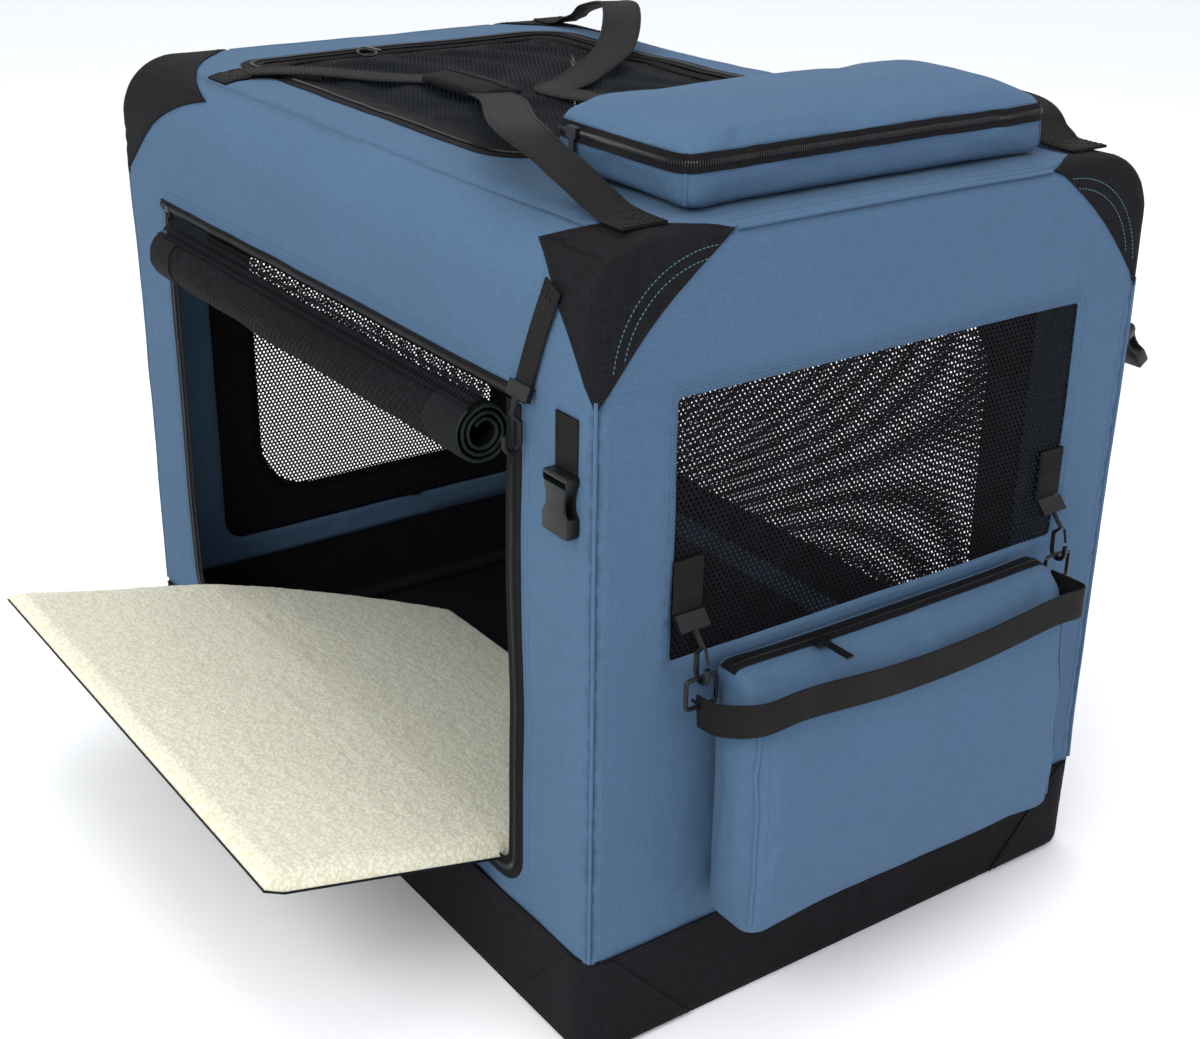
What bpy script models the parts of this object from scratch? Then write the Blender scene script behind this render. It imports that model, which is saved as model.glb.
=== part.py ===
"""Soft folding dog crate: a cloth cabin on a steel tube frame that folds down flat.

X is the width, Y the length and Z is up. The origin is the middle of the base, on the ground. The front end with
the mesh window and the bag faces -Y, and the long side with the open doorway and the fleece mat faces -X.
"""

import math

import bmesh
import bpy
from mathutils import Vector

# Cloth cabin
LENGTH = 0.762
WIDTH = 0.508
HEIGHT = 0.610
CLOTH = 0.003
MESH = 0.001
GAP = 0.0003
ROOF_RADIUS = 0.050
ROOF_SEAM_TURN = 68
OVERRUN = 0.010
ZIP_GAP = 0.0004

# Base tray
BAND_HEIGHT = 0.085
BAND_PROUD = 0.004
TRAY_RADIUS = 0.022
BOARD = 0.004
FOOT_PATCH_WIDTH = 0.085
FOOT_PATCH_LIFT = 0.004
FOOT_PATCH = 0.0012

# Steel frame
TUBE_RADIUS = 0.008
RING_BEND = 0.030
EAR = 0.002
PIVOT_HEIGHT = 0.030
BAR_TO_ROOF = 0.012
POST_INSET = 0.0105
ELBOW_OFFSET = 0.0085
ELBOW_RADIUS = 0.006
ELBOW_BACK = 0.008
ELBOW_LAP = 0.006
ELBOW_BLOCK = 0.005
ELBOW_HALF = 0.0004
ELBOW_PIN = 0.0025
RIVET_HEAD = 0.0012
RIVET_PROUD = 0.0015
BASE_PIN = 0.003
PIN_PLAY = 0.0004
POST_TAIL = 0.012
BRACKET_REACH = 0.052
BRACKET_RISE = 0.008
BRACKET_FOOT = 0.005
HOOP_BEND = 0.035
ROD_INSET = 0.062
COLLAR_WALL = 0.0032
COLLAR_LENGTH = 0.020
COLLAR_PLAY = 0.0004

# Doors and window
DOOR_TO_END = 0.093
DOOR_SILL = 0.108
DOOR_TO_TOP = 0.120
DOOR_FOOT_RADIUS = 0.020
DOOR_HEAD_RADIUS = 0.012
DOOR_BORDER = 0.045
DOOR_BORDER_RADIUS = 0.055
REAR_DOOR_TO_SIDE = 0.069
REAR_DOOR_RADIUS = 0.085
WINDOW_TO_SIDE = 0.065
WINDOW_FOOT = 0.312
WINDOW_TO_TOP = 0.107
WINDOW_RADIUS = 0.004
SEAM = 0.008
ROOF_DOOR_TO_SIDE = 0.086
ROOF_DOOR_TO_FRONT = 0.236
ROOF_DOOR_TO_REAR = 0.081
ROOF_DOOR_RADIUS = 0.030
ROOF_BORDER = 0.022
TAPE_WIDTH = 0.012
TAPE = 0.0012

# Rolled door
ROLL_RADIUS = 0.024
ROLL_CORE = 0.010
ROLL_OUT = 0.008
ROLL_PITCH = 0.0046
ROLL_SHEET = 0.0022
ROLL_INSET = 0.025
ROLL_SAG = 0.033

# Corner patches
PATCH = 0.0015
PATCH_ALONG_X = 0.108
PATCH_ALONG_Z = 0.106
PATCH_ALONG_FRONT = 0.084
PATCH_ALONG_REAR = 0.165

# Top pouch
POUCH_TO_LEFT = 0.089
POUCH_TO_RIGHT = 0.079
POUCH_TO_FRONT = 0.033
POUCH_DEPTH = 0.156
POUCH_HEIGHT = 0.048
POUCH_CROWN = 0.012
POUCH_TAPER = 0.006
POUCH_RADIUS = 0.018
POUCH_SHOULDER_SHARE = 0.78
POUCH_ZIP_SHARE = 0.68
POUCH_CROWN_SHARES = (0.96, 0.85, 0.6, 0.3)
SLIDER_LENGTH = 0.012
SLIDER_WIDTH = 0.008
SLIDER = 0.004
PULL_LENGTH = 0.030
PULL_WIDTH = 0.006
PULL = 0.0015

# Webbing
HANDLE_WIDTH = 0.036
HANDLE = 0.0022
HANDLE_RISE = 0.040
HANDLE_LEAN = 0.003
HANDLE_LIFT = 0.0075
FOOT_INSET = 0.020
FOOT_STEP = 0.015
GRIP_LENGTH = 0.095
GRIP_WALL = 0.003
STRAP_WIDTH = 0.025
STRAP = 0.0018
DOOR_STRAP_WIDTH = 0.018

# Buckles
BUCKLE_WIDTH = 0.030
BUCKLE_LENGTH = 0.043
BUCKLE = 0.0105
BUCKLE_WALL = 0.0018
BUCKLE_DEPTH = 0.030
BUCKLE_WINDOW = 0.016
BUCKLE_WINDOW_HEIGHT = 0.010
BUCKLE_FROM_END = 0.029
STUB_TO_TOP = 0.121
STUB_LENGTH = 0.030
STUB_TURN = math.radians(35)

# Front bag
BAG_HALF = 0.160
BAG_DEPTH = 0.065
BAG_HEIGHT = 0.206
BAG_OVER_RING = 0.002
BAG_STRAP_DROP = 0.0366
BAG_RADIUS = 0.016
BAG_BULGE = 0.008
TAB_HALF = 0.0125
TAB = 0.0025
TAB_LENGTH = 0.040
TAB_OVER_WINDOW_FOOT = 0.036
HANG_INSET = 0.077
HANG_DISTANCE = 0.020
RING_UNDER_TAB = 0.042
RING_HALF = 0.013
RING_DROP = 0.022
RING_WIRE = 0.0016
HOOK_WIRE = 0.0020
HOOK_BEND = 0.0062
HOOK_NECK = 0.014
HOOK_EYE = 0.0075
GATE_WIRE = 0.0012

# Fleece mat
MAT = 0.017
MAT_INSET = 0.0205
MAT_EDGE = 0.004
MAT_INNER = 0.022
MAT_OUTER = -0.447
MAT_INNER_RISE = 0.345
MAT_SILL_TOP = 0.1278
MAT_OUTER_TOP = 0.171

ARC_STEPS = 8
TUBE_SIDES = 12
PIN_SIDES = 12

HALF_W = WIDTH / 2
HALF_L = LENGTH / 2
BAR_HEIGHT = HEIGHT - CLOTH - BAR_TO_ROOF
ELBOW_HEIGHT = (BAR_HEIGHT + PIVOT_HEIGHT) / 2
POST_X = HALF_W - CLOTH - TUBE_RADIUS - 9 * GAP
POST_Y = HALF_L - CLOTH - TUBE_RADIUS / 2 - POST_INSET - 3 * GAP
RING_X = POST_X - TUBE_RADIUS - EAR - 2 * GAP - TUBE_RADIUS
RING_Z = CLOTH + GAP + TUBE_RADIUS
ROD_X = HALF_W - ROD_INSET
DOOR_HALF = HALF_L - DOOR_TO_END
DOOR_TOP = HEIGHT - DOOR_TO_TOP
REAR_DOOR_HALF = HALF_W - REAR_DOOR_TO_SIDE
WINDOW_HALF = HALF_W - WINDOW_TO_SIDE
WINDOW_TOP = HEIGHT - WINDOW_TO_TOP
ROOF_DOOR_HALF = HALF_W - ROOF_DOOR_TO_SIDE
ROOF_DOOR_FRONT = ROOF_DOOR_TO_FRONT - HALF_L
ROOF_DOOR_REAR = HALF_L - ROOF_DOOR_TO_REAR
ROLL_HALF = DOOR_HALF - ROLL_INSET
ROLL_HEIGHT = DOOR_TOP - ROLL_SAG
POUCH_LEFT = POUCH_TO_LEFT - HALF_W
POUCH_RIGHT = HALF_W - POUCH_TO_RIGHT
POUCH_FRONT = POUCH_TO_FRONT - HALF_L
POUCH_REAR = POUCH_FRONT + POUCH_DEPTH
STUB_TOP = HEIGHT - STUB_TO_TOP
TAB_FOOT = WINDOW_FOOT + TAB_OVER_WINDOW_FOOT
TAB_TOP = TAB_FOOT + TAB_LENGTH
HANG_HEIGHT = TAB_FOOT - RING_UNDER_TAB
BAG_TOP = HANG_HEIGHT + BAG_OVER_RING
BAG_FOOT = BAG_TOP - BAG_HEIGHT
MAT_HALF = DOOR_HALF - MAT_INSET
HANG_X = HALF_W - HANG_INSET
HANG_Y = -HALF_L - HANG_DISTANCE
MAT_INNER_TOP = CLOTH + GAP + BOARD + GAP + MAT_EDGE + MAT / 2

LOOKS = {
    "blue cloth": ("607F9C", 0.85, 0.0),
    "black cloth": ("22252A", 0.80, 0.0),
    "black mesh": ("15181B", 0.85, 0.0),
    "webbing": ("26282A", 0.75, 0.0),
    "board": ("1A1C20", 0.70, 0.0),
    "fleece": ("D9D7C2", 0.95, 0.0),
    "black plastic": ("17191B", 0.40, 0.0),
    "dark metal": ("2B2C2E", 0.35, 0.9),
    "steel": ("A4A7AA", 0.35, 1.0),
}


def clear_scene():
    for old in list(bpy.data.objects):
        bpy.data.objects.remove(old, do_unlink=True)


def linear(value):
    return value / 12.92 if value <= 0.04045 else ((value + 0.055) / 1.055) ** 2.4


def finish(obj, look):
    """The object's own material, from the colour, roughness and metallic value of its kind."""
    code, roughness, metallic = LOOKS[look]
    made = bpy.data.materials.new(obj.name)
    made.use_nodes = True
    shader = made.node_tree.nodes["Principled BSDF"]
    red, green, blue = (linear(int(code[i : i + 2], 16) / 255) for i in (0, 2, 4))
    shader.inputs["Base Color"].default_value = (red, green, blue, 1)
    shader.inputs["Roughness"].default_value = roughness
    shader.inputs["Metallic"].default_value = metallic
    obj.data.materials.append(made)


def as_object(name, shape, look=None, smooth=False):
    """A mesh object of that shape. Without a look it is a cutter or another helper."""
    bmesh.ops.recalc_face_normals(shape, faces=shape.faces)
    mesh = bpy.data.meshes.new(name)
    shape.to_mesh(mesh)
    shape.free()
    obj = bpy.data.objects.new(name, mesh)
    bpy.context.scene.collection.objects.link(obj)
    if look:
        finish(obj, look)
    else:
        obj.hide_render = True
        obj.display_type = "WIRE"
    if smooth:
        mesh.shade_smooth()
        mesh.set_sharp_from_angle(angle=math.radians(40))
    return obj


def boolean(target, other, operation):
    modifier = target.modifiers.new(other.name, "BOOLEAN")
    modifier.operation = operation
    modifier.solver = "EXACT"
    modifier.object = other


def span(near, far, side):
    """Two distances from the middle, on one side of it, as a low and a high value."""
    return sorted((near * side, far * side))


def place(axis, u, v, w):
    """The point at u, v in the plane square to the axis, and at w along it."""
    return {"X": (w, u, v), "Y": (u, w, v), "Z": (u, v, w)}[axis]


def arc(centre, radius, start, end, steps=ARC_STEPS):
    """Points round a centre in a plane, between two angles in degrees."""
    turns = (math.radians(start + (end - start) * i / steps) for i in range(steps + 1))
    return [(centre[0] + radius * math.cos(t), centre[1] + radius * math.sin(t)) for t in turns]


def rounded(low, high, radii):
    """A rectangle from low to high, with its four corner radii from the low corner, anticlockwise."""
    (u0, v0), (u1, v1) = low, high
    a, b, c, d = radii
    return (
        arc((u0 + a, v0 + a), a, 180, 270)
        + arc((u1 - b, v0 + b), b, 270, 360)
        + arc((u1 - c, v1 - c), c, 0, 90)
        + arc((u0 + d, v1 - d), d, 90, 180)
    )


def extrusion(outline, axis, low, high):
    """An outline drawn out along an axis."""
    shape = bmesh.new()
    face = shape.faces.new([shape.verts.new(place(axis, u, v, low)) for u, v in outline])
    drawn = bmesh.ops.extrude_face_region(shape, geom=[face])
    moved = [item for item in drawn["geom"] if isinstance(item, bmesh.types.BMVert)]
    bmesh.ops.translate(shape, verts=moved, vec=place(axis, 0, 0, high - low))
    return shape


def plate(name, outline, axis, low, high, look=None, smooth=False):
    return as_object(name, extrusion(outline, axis, low, high), look, smooth)


def cut(target, outline, axis, low, high):
    boolean(target, plate(target.name + "_cutter", outline, axis, low, high), "DIFFERENCE")


def disc(centre, radius, sides=PIN_SIDES):
    return arc(centre, radius, 0, 360 - 360 / sides, sides - 1)


def smooth_path(points, steps):
    """A Catmull-Rom curve through the points."""
    ends = [points[0] * 2 - points[1], *points, points[-1] * 2 - points[-2]]
    path = []
    for a, b, c, d in zip(ends, ends[1:], ends[2:], ends[3:]):
        for i in range(steps):
            t = i / steps
            path.append(
                (b * 2 + (c - a) * t + (a * 2 - b * 5 + c * 4 - d) * t * t + (b * 3 - a - c * 3 + d) * t**3) / 2
            )
    return path + [points[-1]]


def sweep(path, section, up, closed=False):
    """A section carried along a path. Its second coordinate points along up as far as the path lets it."""
    shape = bmesh.new()
    count = len(path)
    rings = []
    for i, point in enumerate(path):
        before = path[i - 1] if closed or i else point
        after = path[(i + 1) % count] if closed or i + 1 < count else point
        along = (after - before).normalized()
        wanted = up[i] if isinstance(up, list) else up
        side = along.cross(wanted).normalized()
        over = side.cross(along)
        rings.append([shape.verts.new(point + side * s + over * n) for s, n in section])
    for i in range(count if closed else count - 1):
        first, second = rings[i], rings[(i + 1) % count]
        for j in range(len(section)):
            k = (j + 1) % len(section)
            shape.faces.new((first[j], first[k], second[k], second[j]))
    if not closed:
        shape.faces.new(rings[0])
        shape.faces.new(rings[-1])
    return shape


def flat_section(half, deep):
    return [(-half, -deep), (half, -deep), (half, deep), (-half, deep)]


def ribbon(name, path, width, thickness, up, look="webbing"):
    return as_object(name, sweep(path, flat_section(width / 2, thickness / 2), up), look)


def cylinder(name, axis, centre, radius, low, high, look=None, sides=PIN_SIDES):
    return plate(name, disc(centre, radius, sides), axis, low, high, look, smooth=True)


# Base


def tray_outline(inset):
    """The tray in plan, drawn in by inset."""
    x = HALF_W + BAND_PROUD - inset
    y = HALF_L + BAND_PROUD - inset
    return rounded((-x, -y), (x, y), [TRAY_RADIUS - inset] * 4)


def base_tray():
    tray = plate("base_tray", tray_outline(0), "Z", 0, BAND_HEIGHT, "black cloth")
    cut(tray, tray_outline(CLOTH), "Z", CLOTH, BAND_HEIGHT + OVERRUN)


def foot_patch(name, x_side, y_side):
    """The reinforcement sewn round a lower corner of the tray."""
    x = HALF_W + BAND_PROUD + GAP
    y = HALF_L + BAND_PROUD + GAP
    inner = TRAY_RADIUS + GAP
    centre = (x - inner, y - inner)
    outside = [(x + FOOT_PATCH, y - FOOT_PATCH_WIDTH), *arc(centre, inner + FOOT_PATCH, 0, 90)]
    outside.append((x - FOOT_PATCH_WIDTH, y + FOOT_PATCH))
    inside = [(x - FOOT_PATCH_WIDTH, y), *arc(centre, inner, 90, 0), (x, y - FOOT_PATCH_WIDTH)]
    outline = [(u * x_side, v * y_side) for u, v in outside + inside]
    plate(name, outline, "Z", FOOT_PATCH_LIFT, BAND_HEIGHT - GAP, "black cloth")


def floor_board():
    x = RING_X - TUBE_RADIUS - GAP
    y = POST_Y - TUBE_RADIUS - GAP
    corner = [RING_BEND - TUBE_RADIUS] * 4
    plate("floor_board", rounded((-x, -y), (x, y), corner), "Z", CLOTH + GAP, CLOTH + GAP + BOARD, "board")


def base_ring():
    outline = rounded((-RING_X, -POST_Y), (RING_X, POST_Y), [RING_BEND] * 4)
    path = [Vector((u, v, RING_Z)) for u, v in outline]
    shape = sweep(path, disc((0, 0), TUBE_RADIUS, TUBE_SIDES), Vector((0, 0, 1)), closed=True)
    as_object("base_ring", shape, "steel", smooth=True)


def bracket(name, x_side, y_side):
    """The plate on the base ring that carries a lower post, with its riveted pin."""
    near = (RING_X + TUBE_RADIUS + GAP) * x_side
    far = near + EAR * x_side
    outer = POST_Y + TUBE_RADIUS / 2
    outline = [
        (outer * y_side, BRACKET_FOOT),
        (outer * y_side, PIVOT_HEIGHT + BRACKET_RISE),
        ((POST_Y - TUBE_RADIUS) * y_side, PIVOT_HEIGHT + BRACKET_RISE),
        ((outer - BRACKET_REACH) * y_side, RING_Z + TUBE_RADIUS),
        ((outer - BRACKET_REACH) * y_side, BRACKET_FOOT),
    ]
    ear = plate(name, outline, "X", near, far, "steel")
    centre = (POST_Y * y_side, PIVOT_HEIGHT)
    head = (POST_X + TUBE_RADIUS + GAP) * x_side
    boolean(ear, cylinder(name + "_pin", "X", centre, BASE_PIN, far - EAR * x_side / 2, head), "UNION")
    end = head + RIVET_HEAD * x_side
    boolean(ear, cylinder(name + "_head", "X", centre, BASE_PIN + RIVET_PROUD, head - GAP * x_side, end), "UNION")


# Folding frame


def elbow_fitting(y_side, up):
    """Half of an elbow: a block out of a tube's end and an eye round the pin on its outer side."""
    eye = (ELBOW_OFFSET, 0)
    depth = ELBOW_BACK + ELBOW_LAP
    outline = [(-ELBOW_BLOCK, -depth), (ELBOW_BLOCK, -depth)]
    outline += arc(eye, ELBOW_RADIUS, -50, 180) + [(-ELBOW_BLOCK, 0)]
    return [((POST_Y + o) * y_side, ELBOW_HEIGHT + h * up) for o, h in outline]


def elbow_pin_centre(y_side):
    return ((POST_Y + ELBOW_OFFSET) * y_side, ELBOW_HEIGHT)


def lower_post(name, x_side, y_side):
    """A post from its pin on the base to the elbow, whose pin it carries."""
    centre = (POST_X * x_side, POST_Y * y_side)
    low = PIVOT_HEIGHT - POST_TAIL
    post = plate(name, disc(centre, TUBE_RADIUS, TUBE_SIDES), "Z", low, ELBOW_HEIGHT - ELBOW_BACK, "steel", smooth=True)
    bore = disc((POST_Y * y_side, PIVOT_HEIGHT), BASE_PIN + PIN_PLAY)
    cut(post, bore, "X", *span(POST_X - TUBE_RADIUS - OVERRUN, POST_X + TUBE_RADIUS + OVERRUN, x_side))
    inner = (POST_X - TUBE_RADIUS + 8 * GAP) * x_side
    middle = (POST_X - ELBOW_HALF) * x_side
    boolean(post, plate(name + "_eye", elbow_fitting(y_side, 1), "X", inner, middle), "UNION")
    face = (POST_X + TUBE_RADIUS - 8 * GAP + GAP) * x_side
    pin = elbow_pin_centre(y_side)
    boolean(post, cylinder(name + "_pin", "X", pin, ELBOW_PIN, middle - EAR * x_side, face), "UNION")
    head = ELBOW_PIN + RIVET_PROUD
    boolean(post, cylinder(name + "_head", "X", pin, head, face - GAP * x_side / 2, face + RIVET_HEAD * x_side), "UNION")


def upper_hoop(name, y_side):
    """The upper half of an end frame: two legs and the bar across the roof, in one bent tube."""
    start = ELBOW_HEIGHT + ELBOW_BACK
    bend = (POST_X - HOOP_BEND, BAR_HEIGHT - HOOP_BEND)
    half = [(POST_X, start), *arc(bend, HOOP_BEND, 0, 90)]
    both = half + [(-x, z) for x, z in reversed(half)]
    path = [Vector((x, POST_Y * y_side, z)) for x, z in both]
    shape = sweep(path, disc((0, 0), TUBE_RADIUS, TUBE_SIDES), Vector((0, 1, 0)))
    hoop = as_object(name, shape, "steel", smooth=True)
    for x_side in (-1, 1):
        middle = (POST_X + ELBOW_HALF) * x_side
        outer = (POST_X + TUBE_RADIUS - 8 * GAP) * x_side
        eye = plate(name + "_eye", elbow_fitting(y_side, -1), "X", middle, outer)
        boolean(hoop, eye, "UNION")
        bore = disc(elbow_pin_centre(y_side), ELBOW_PIN + PIN_PLAY)
        cut(hoop, bore, "X", middle - ELBOW_HALF * x_side, outer + OVERRUN * x_side)


def roof_rod(name, x_side):
    """A rod along the roof, with a collar round each end frame's bar."""
    centre = (ROD_X * x_side, BAR_HEIGHT)
    reach = POST_Y - TUBE_RADIUS - COLLAR_PLAY - COLLAR_WALL / 2
    rod = plate(name, disc(centre, TUBE_RADIUS, TUBE_SIDES), "Y", -reach, reach, "steel", smooth=True)
    bore = TUBE_RADIUS + COLLAR_PLAY
    half = COLLAR_LENGTH / 2
    for y_side in (-1, 1):
        at = (POST_Y * y_side, BAR_HEIGHT)
        low, high = ROD_X * x_side - half, ROD_X * x_side + half
        boolean(rod, plate(name + "_collar", disc(at, bore + COLLAR_WALL, TUBE_SIDES), "X", low, high), "UNION")
        cut(rod, disc(at, bore, TUBE_SIDES), "X", low - OVERRUN, high + OVERRUN)


# Cloth walls


def side_wall(name, x_side):
    """A long side with its doorway, up over the roof's rounded edge to its seam with the roof."""
    foot = BAND_HEIGHT + GAP
    centre = (HALF_W - ROOF_RADIUS, HEIGHT - ROOF_RADIUS)
    turn = ROOF_SEAM_TURN - math.degrees(GAP / ROOF_RADIUS)
    outside = [(HALF_W, foot), *arc(centre, ROOF_RADIUS, 0, turn)]
    inside = [*arc(centre, ROOF_RADIUS - CLOTH, turn, 0), (HALF_W - CLOTH, foot)]
    outline = [(u * x_side, v) for u, v in outside + inside]
    wall = plate(name, outline, "Y", -HALF_L, HALF_L, "blue cloth", smooth=True)
    cut(wall, doorway(0), "X", *span(HALF_W - CLOTH - OVERRUN, HALF_W + OVERRUN, x_side))


def doorway(inset):
    """The doorway's outline on a long side, drawn in by inset."""
    foot = DOOR_FOOT_RADIUS - inset
    head = DOOR_HEAD_RADIUS - inset
    return rounded(
        (inset - DOOR_HALF, DOOR_SILL + inset), (DOOR_HALF - inset, DOOR_TOP - inset), (foot, foot, head, head)
    )


def end_wall(name, y_side):
    """An end, inside the two long sides and under the roof."""
    low, high = sorted((HALF_L * y_side, (HALF_L - CLOTH) * y_side))
    x = HALF_W - CLOTH - GAP
    edge = ROOF_RADIUS - CLOTH - GAP
    outline = [(-x, BAND_HEIGHT + GAP), (x, BAND_HEIGHT + GAP)]
    outline += arc((x - edge, HEIGHT - ROOF_RADIUS), edge, 0, 90)
    outline += arc((edge - x, HEIGHT - ROOF_RADIUS), edge, 90, 180)
    wall = plate(name, outline, "Y", low, high, "blue cloth")
    cut(wall, window(0) if y_side < 0 else rear_doorway(0), "Y", low - OVERRUN, high + OVERRUN)


def window(grow):
    low = (-WINDOW_HALF - grow, WINDOW_FOOT - grow)
    return rounded(low, (WINDOW_HALF + grow, WINDOW_TOP + grow), [WINDOW_RADIUS + grow] * 4)


def rear_doorway(inset):
    low = (inset - REAR_DOOR_HALF, DOOR_SILL + inset)
    foot = DOOR_FOOT_RADIUS - inset
    head = REAR_DOOR_RADIUS - inset
    return rounded(low, (REAR_DOOR_HALF - inset, DOOR_TOP - inset), (foot, foot, head, head))


def window_mesh():
    face = -HALF_L + CLOTH + GAP
    plate("window_mesh", window(SEAM), "Y", face, face + MESH, "black mesh")


def zipped_door(name, outline, axis, side, half):
    """A zipped door in its doorway: a cloth border and a mesh panel sewn behind it."""
    low, high = sorted((half * side, (half - CLOTH) * side))
    border = plate(name + "_border", outline(ZIP_GAP), axis, low, high, "black cloth")
    cut(border, inner_outline(outline, DOOR_BORDER), axis, low - OVERRUN, high + OVERRUN)
    face = (half - CLOTH - GAP) * side
    low, high = sorted((face, face - MESH * side))
    plate(name + "_mesh", inner_outline(outline, DOOR_BORDER - SEAM), axis, low, high, "black mesh")


def inner_outline(outline, inset):
    """The mesh panel of a door: its outline drawn in by inset, with wide corners."""
    points = outline(0)
    low = [min(p[i] for p in points) + inset for i in (0, 1)]
    high = [max(p[i] for p in points) - inset for i in (0, 1)]
    return rounded(low, high, [DOOR_BORDER_RADIUS] * 4)


def doorway_tape():
    """The zipper's tape round the open doorway, on the outer face of the cloth, open at the top."""
    face = -HALF_W - GAP
    high = DOOR_TOP - SEAM
    inner = DOOR_FOOT_RADIUS
    outer = inner + TAPE_WIDTH
    foot = (DOOR_HALF - inner, DOOR_SILL + inner)
    outside = [(DOOR_HALF + TAPE_WIDTH, high), *reversed(arc(foot, outer, 270, 360))]
    inside = [*arc(foot, inner, 270, 360), (DOOR_HALF, high)]
    left_outside = [(-u, v) for u, v in reversed(outside)]
    left_inside = [(-u, v) for u, v in reversed(inside)]
    plate("doorway_zipper", outside + left_outside + left_inside + inside, "X", face - TAPE, face, "black cloth")


def door_roll():
    """The mesh door rolled up over its doorway: one sheet from the seam, over the top of the roll and round inside."""
    centre = Vector((-HALF_W - ROLL_OUT, ROLL_HEIGHT))
    turns = (ROLL_RADIUS - ROLL_CORE) / ROLL_PITCH
    steps = round(turns * 3 * ARC_STEPS)
    sheet = ROLL_SHEET / 2
    seam = Vector((-HALF_W - GAP - sheet, DOOR_TOP))
    pull = seam - centre
    first = math.atan2(pull.y, pull.x) + math.acos((ROLL_RADIUS - sheet) / pull.length)
    outer = []
    inner = []
    for i in range(steps + 1):
        turn = first + math.tau * turns * i / steps
        radius = ROLL_RADIUS - sheet - ROLL_PITCH * turns * i / steps
        spoke = Vector((math.cos(turn), math.sin(turn)))
        outer.append(centre + spoke * (radius + sheet))
        inner.append(centre + spoke * (radius - sheet))
    lap = Vector((0, SEAM))
    across = Vector((sheet, 0))
    sewn = [seam + lap - across, seam - across]
    outline = [tuple(p) for p in [*sewn, *outer, *reversed(inner), seam + across, seam + lap + across]]
    plate("rolled_door", outline, "Y", -ROLL_HALF, ROLL_HALF, "black mesh", smooth=True)


# Roof


def cap_outline(grow, depth, start=0):
    """The roof's cross-section: flat on top, and turned down over the long edges to its depth or to a start angle."""
    edge = ROOF_RADIUS + grow
    x = HALF_W - ROOF_RADIUS
    z = HEIGHT - ROOF_RADIUS
    right = arc((x, z), edge, start, 90)
    left = arc((-x, z), edge, 90, 180 - start)
    if depth > ROOF_RADIUS:
        right.insert(0, (x + edge, HEIGHT - depth))
        left.append((-x - edge, HEIGHT - depth))
    return right + left


def roof_panel():
    seam = ROOF_SEAM_TURN
    outline = cap_outline(0, ROOF_RADIUS, seam) + list(reversed(cap_outline(-CLOTH, ROOF_RADIUS, seam)))
    roof = plate("roof_panel", outline, "Y", -HALF_L, HALF_L, "blue cloth", smooth=True)
    cut(roof, roof_doorway(0), "Z", HEIGHT - CLOTH - OVERRUN, HEIGHT + OVERRUN)


def roof_doorway(inset):
    low = (inset - ROOF_DOOR_HALF, ROOF_DOOR_FRONT + inset)
    high = (ROOF_DOOR_HALF - inset, ROOF_DOOR_REAR - inset)
    return rounded(low, high, [ROOF_DOOR_RADIUS - inset] * 4)


def roof_door():
    border = plate("roof_door_border", roof_doorway(ZIP_GAP), "Z", HEIGHT - CLOTH, HEIGHT, "black cloth")
    cut(border, roof_doorway(ROOF_BORDER), "Z", HEIGHT - CLOTH - OVERRUN, HEIGHT + OVERRUN)
    face = HEIGHT - CLOTH - GAP
    plate("roof_door_mesh", roof_doorway(ROOF_BORDER - SEAM), "Z", face - MESH, face, "black mesh")


def corner_patch(name, x_side, y_side, along_y):
    """A patch over an upper corner: the skin of the rounded roof and both walls, cut off by one slanting plane."""
    inner = GAP
    outer = GAP + PATCH
    depth = PATCH_ALONG_Z + OVERRUN
    far = (HALF_L + outer) * y_side
    near = (HALF_L - along_y - OVERRUN) * y_side
    skin = extrusion(cap_outline(outer, depth), "Y", *sorted((near, far)))
    corner = Vector((HALF_W * x_side, HALF_L * y_side, HEIGHT))
    slant = Vector((x_side / PATCH_ALONG_X, y_side / along_y, 1 / PATCH_ALONG_Z))
    on_slant = corner - Vector((PATCH_ALONG_X * x_side, 0, 0))
    cut_off(skin, on_slant, -slant)
    patch = as_object(name, skin, "black cloth")
    end = (HALF_L + inner) * y_side
    cut(patch, cap_outline(inner, depth + OVERRUN), "Y", *sorted((near - OVERRUN * y_side, end)))


def cut_off(shape, point, away):
    """Takes off what lies on the away side of a plane, and closes the cut."""
    every = shape.verts[:] + shape.edges[:] + shape.faces[:]
    bmesh.ops.bisect_plane(shape, geom=every, plane_co=point, plane_no=away, clear_outer=True)
    bmesh.ops.holes_fill(shape, edges=[edge for edge in shape.edges if edge.is_boundary], sides=0)


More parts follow.
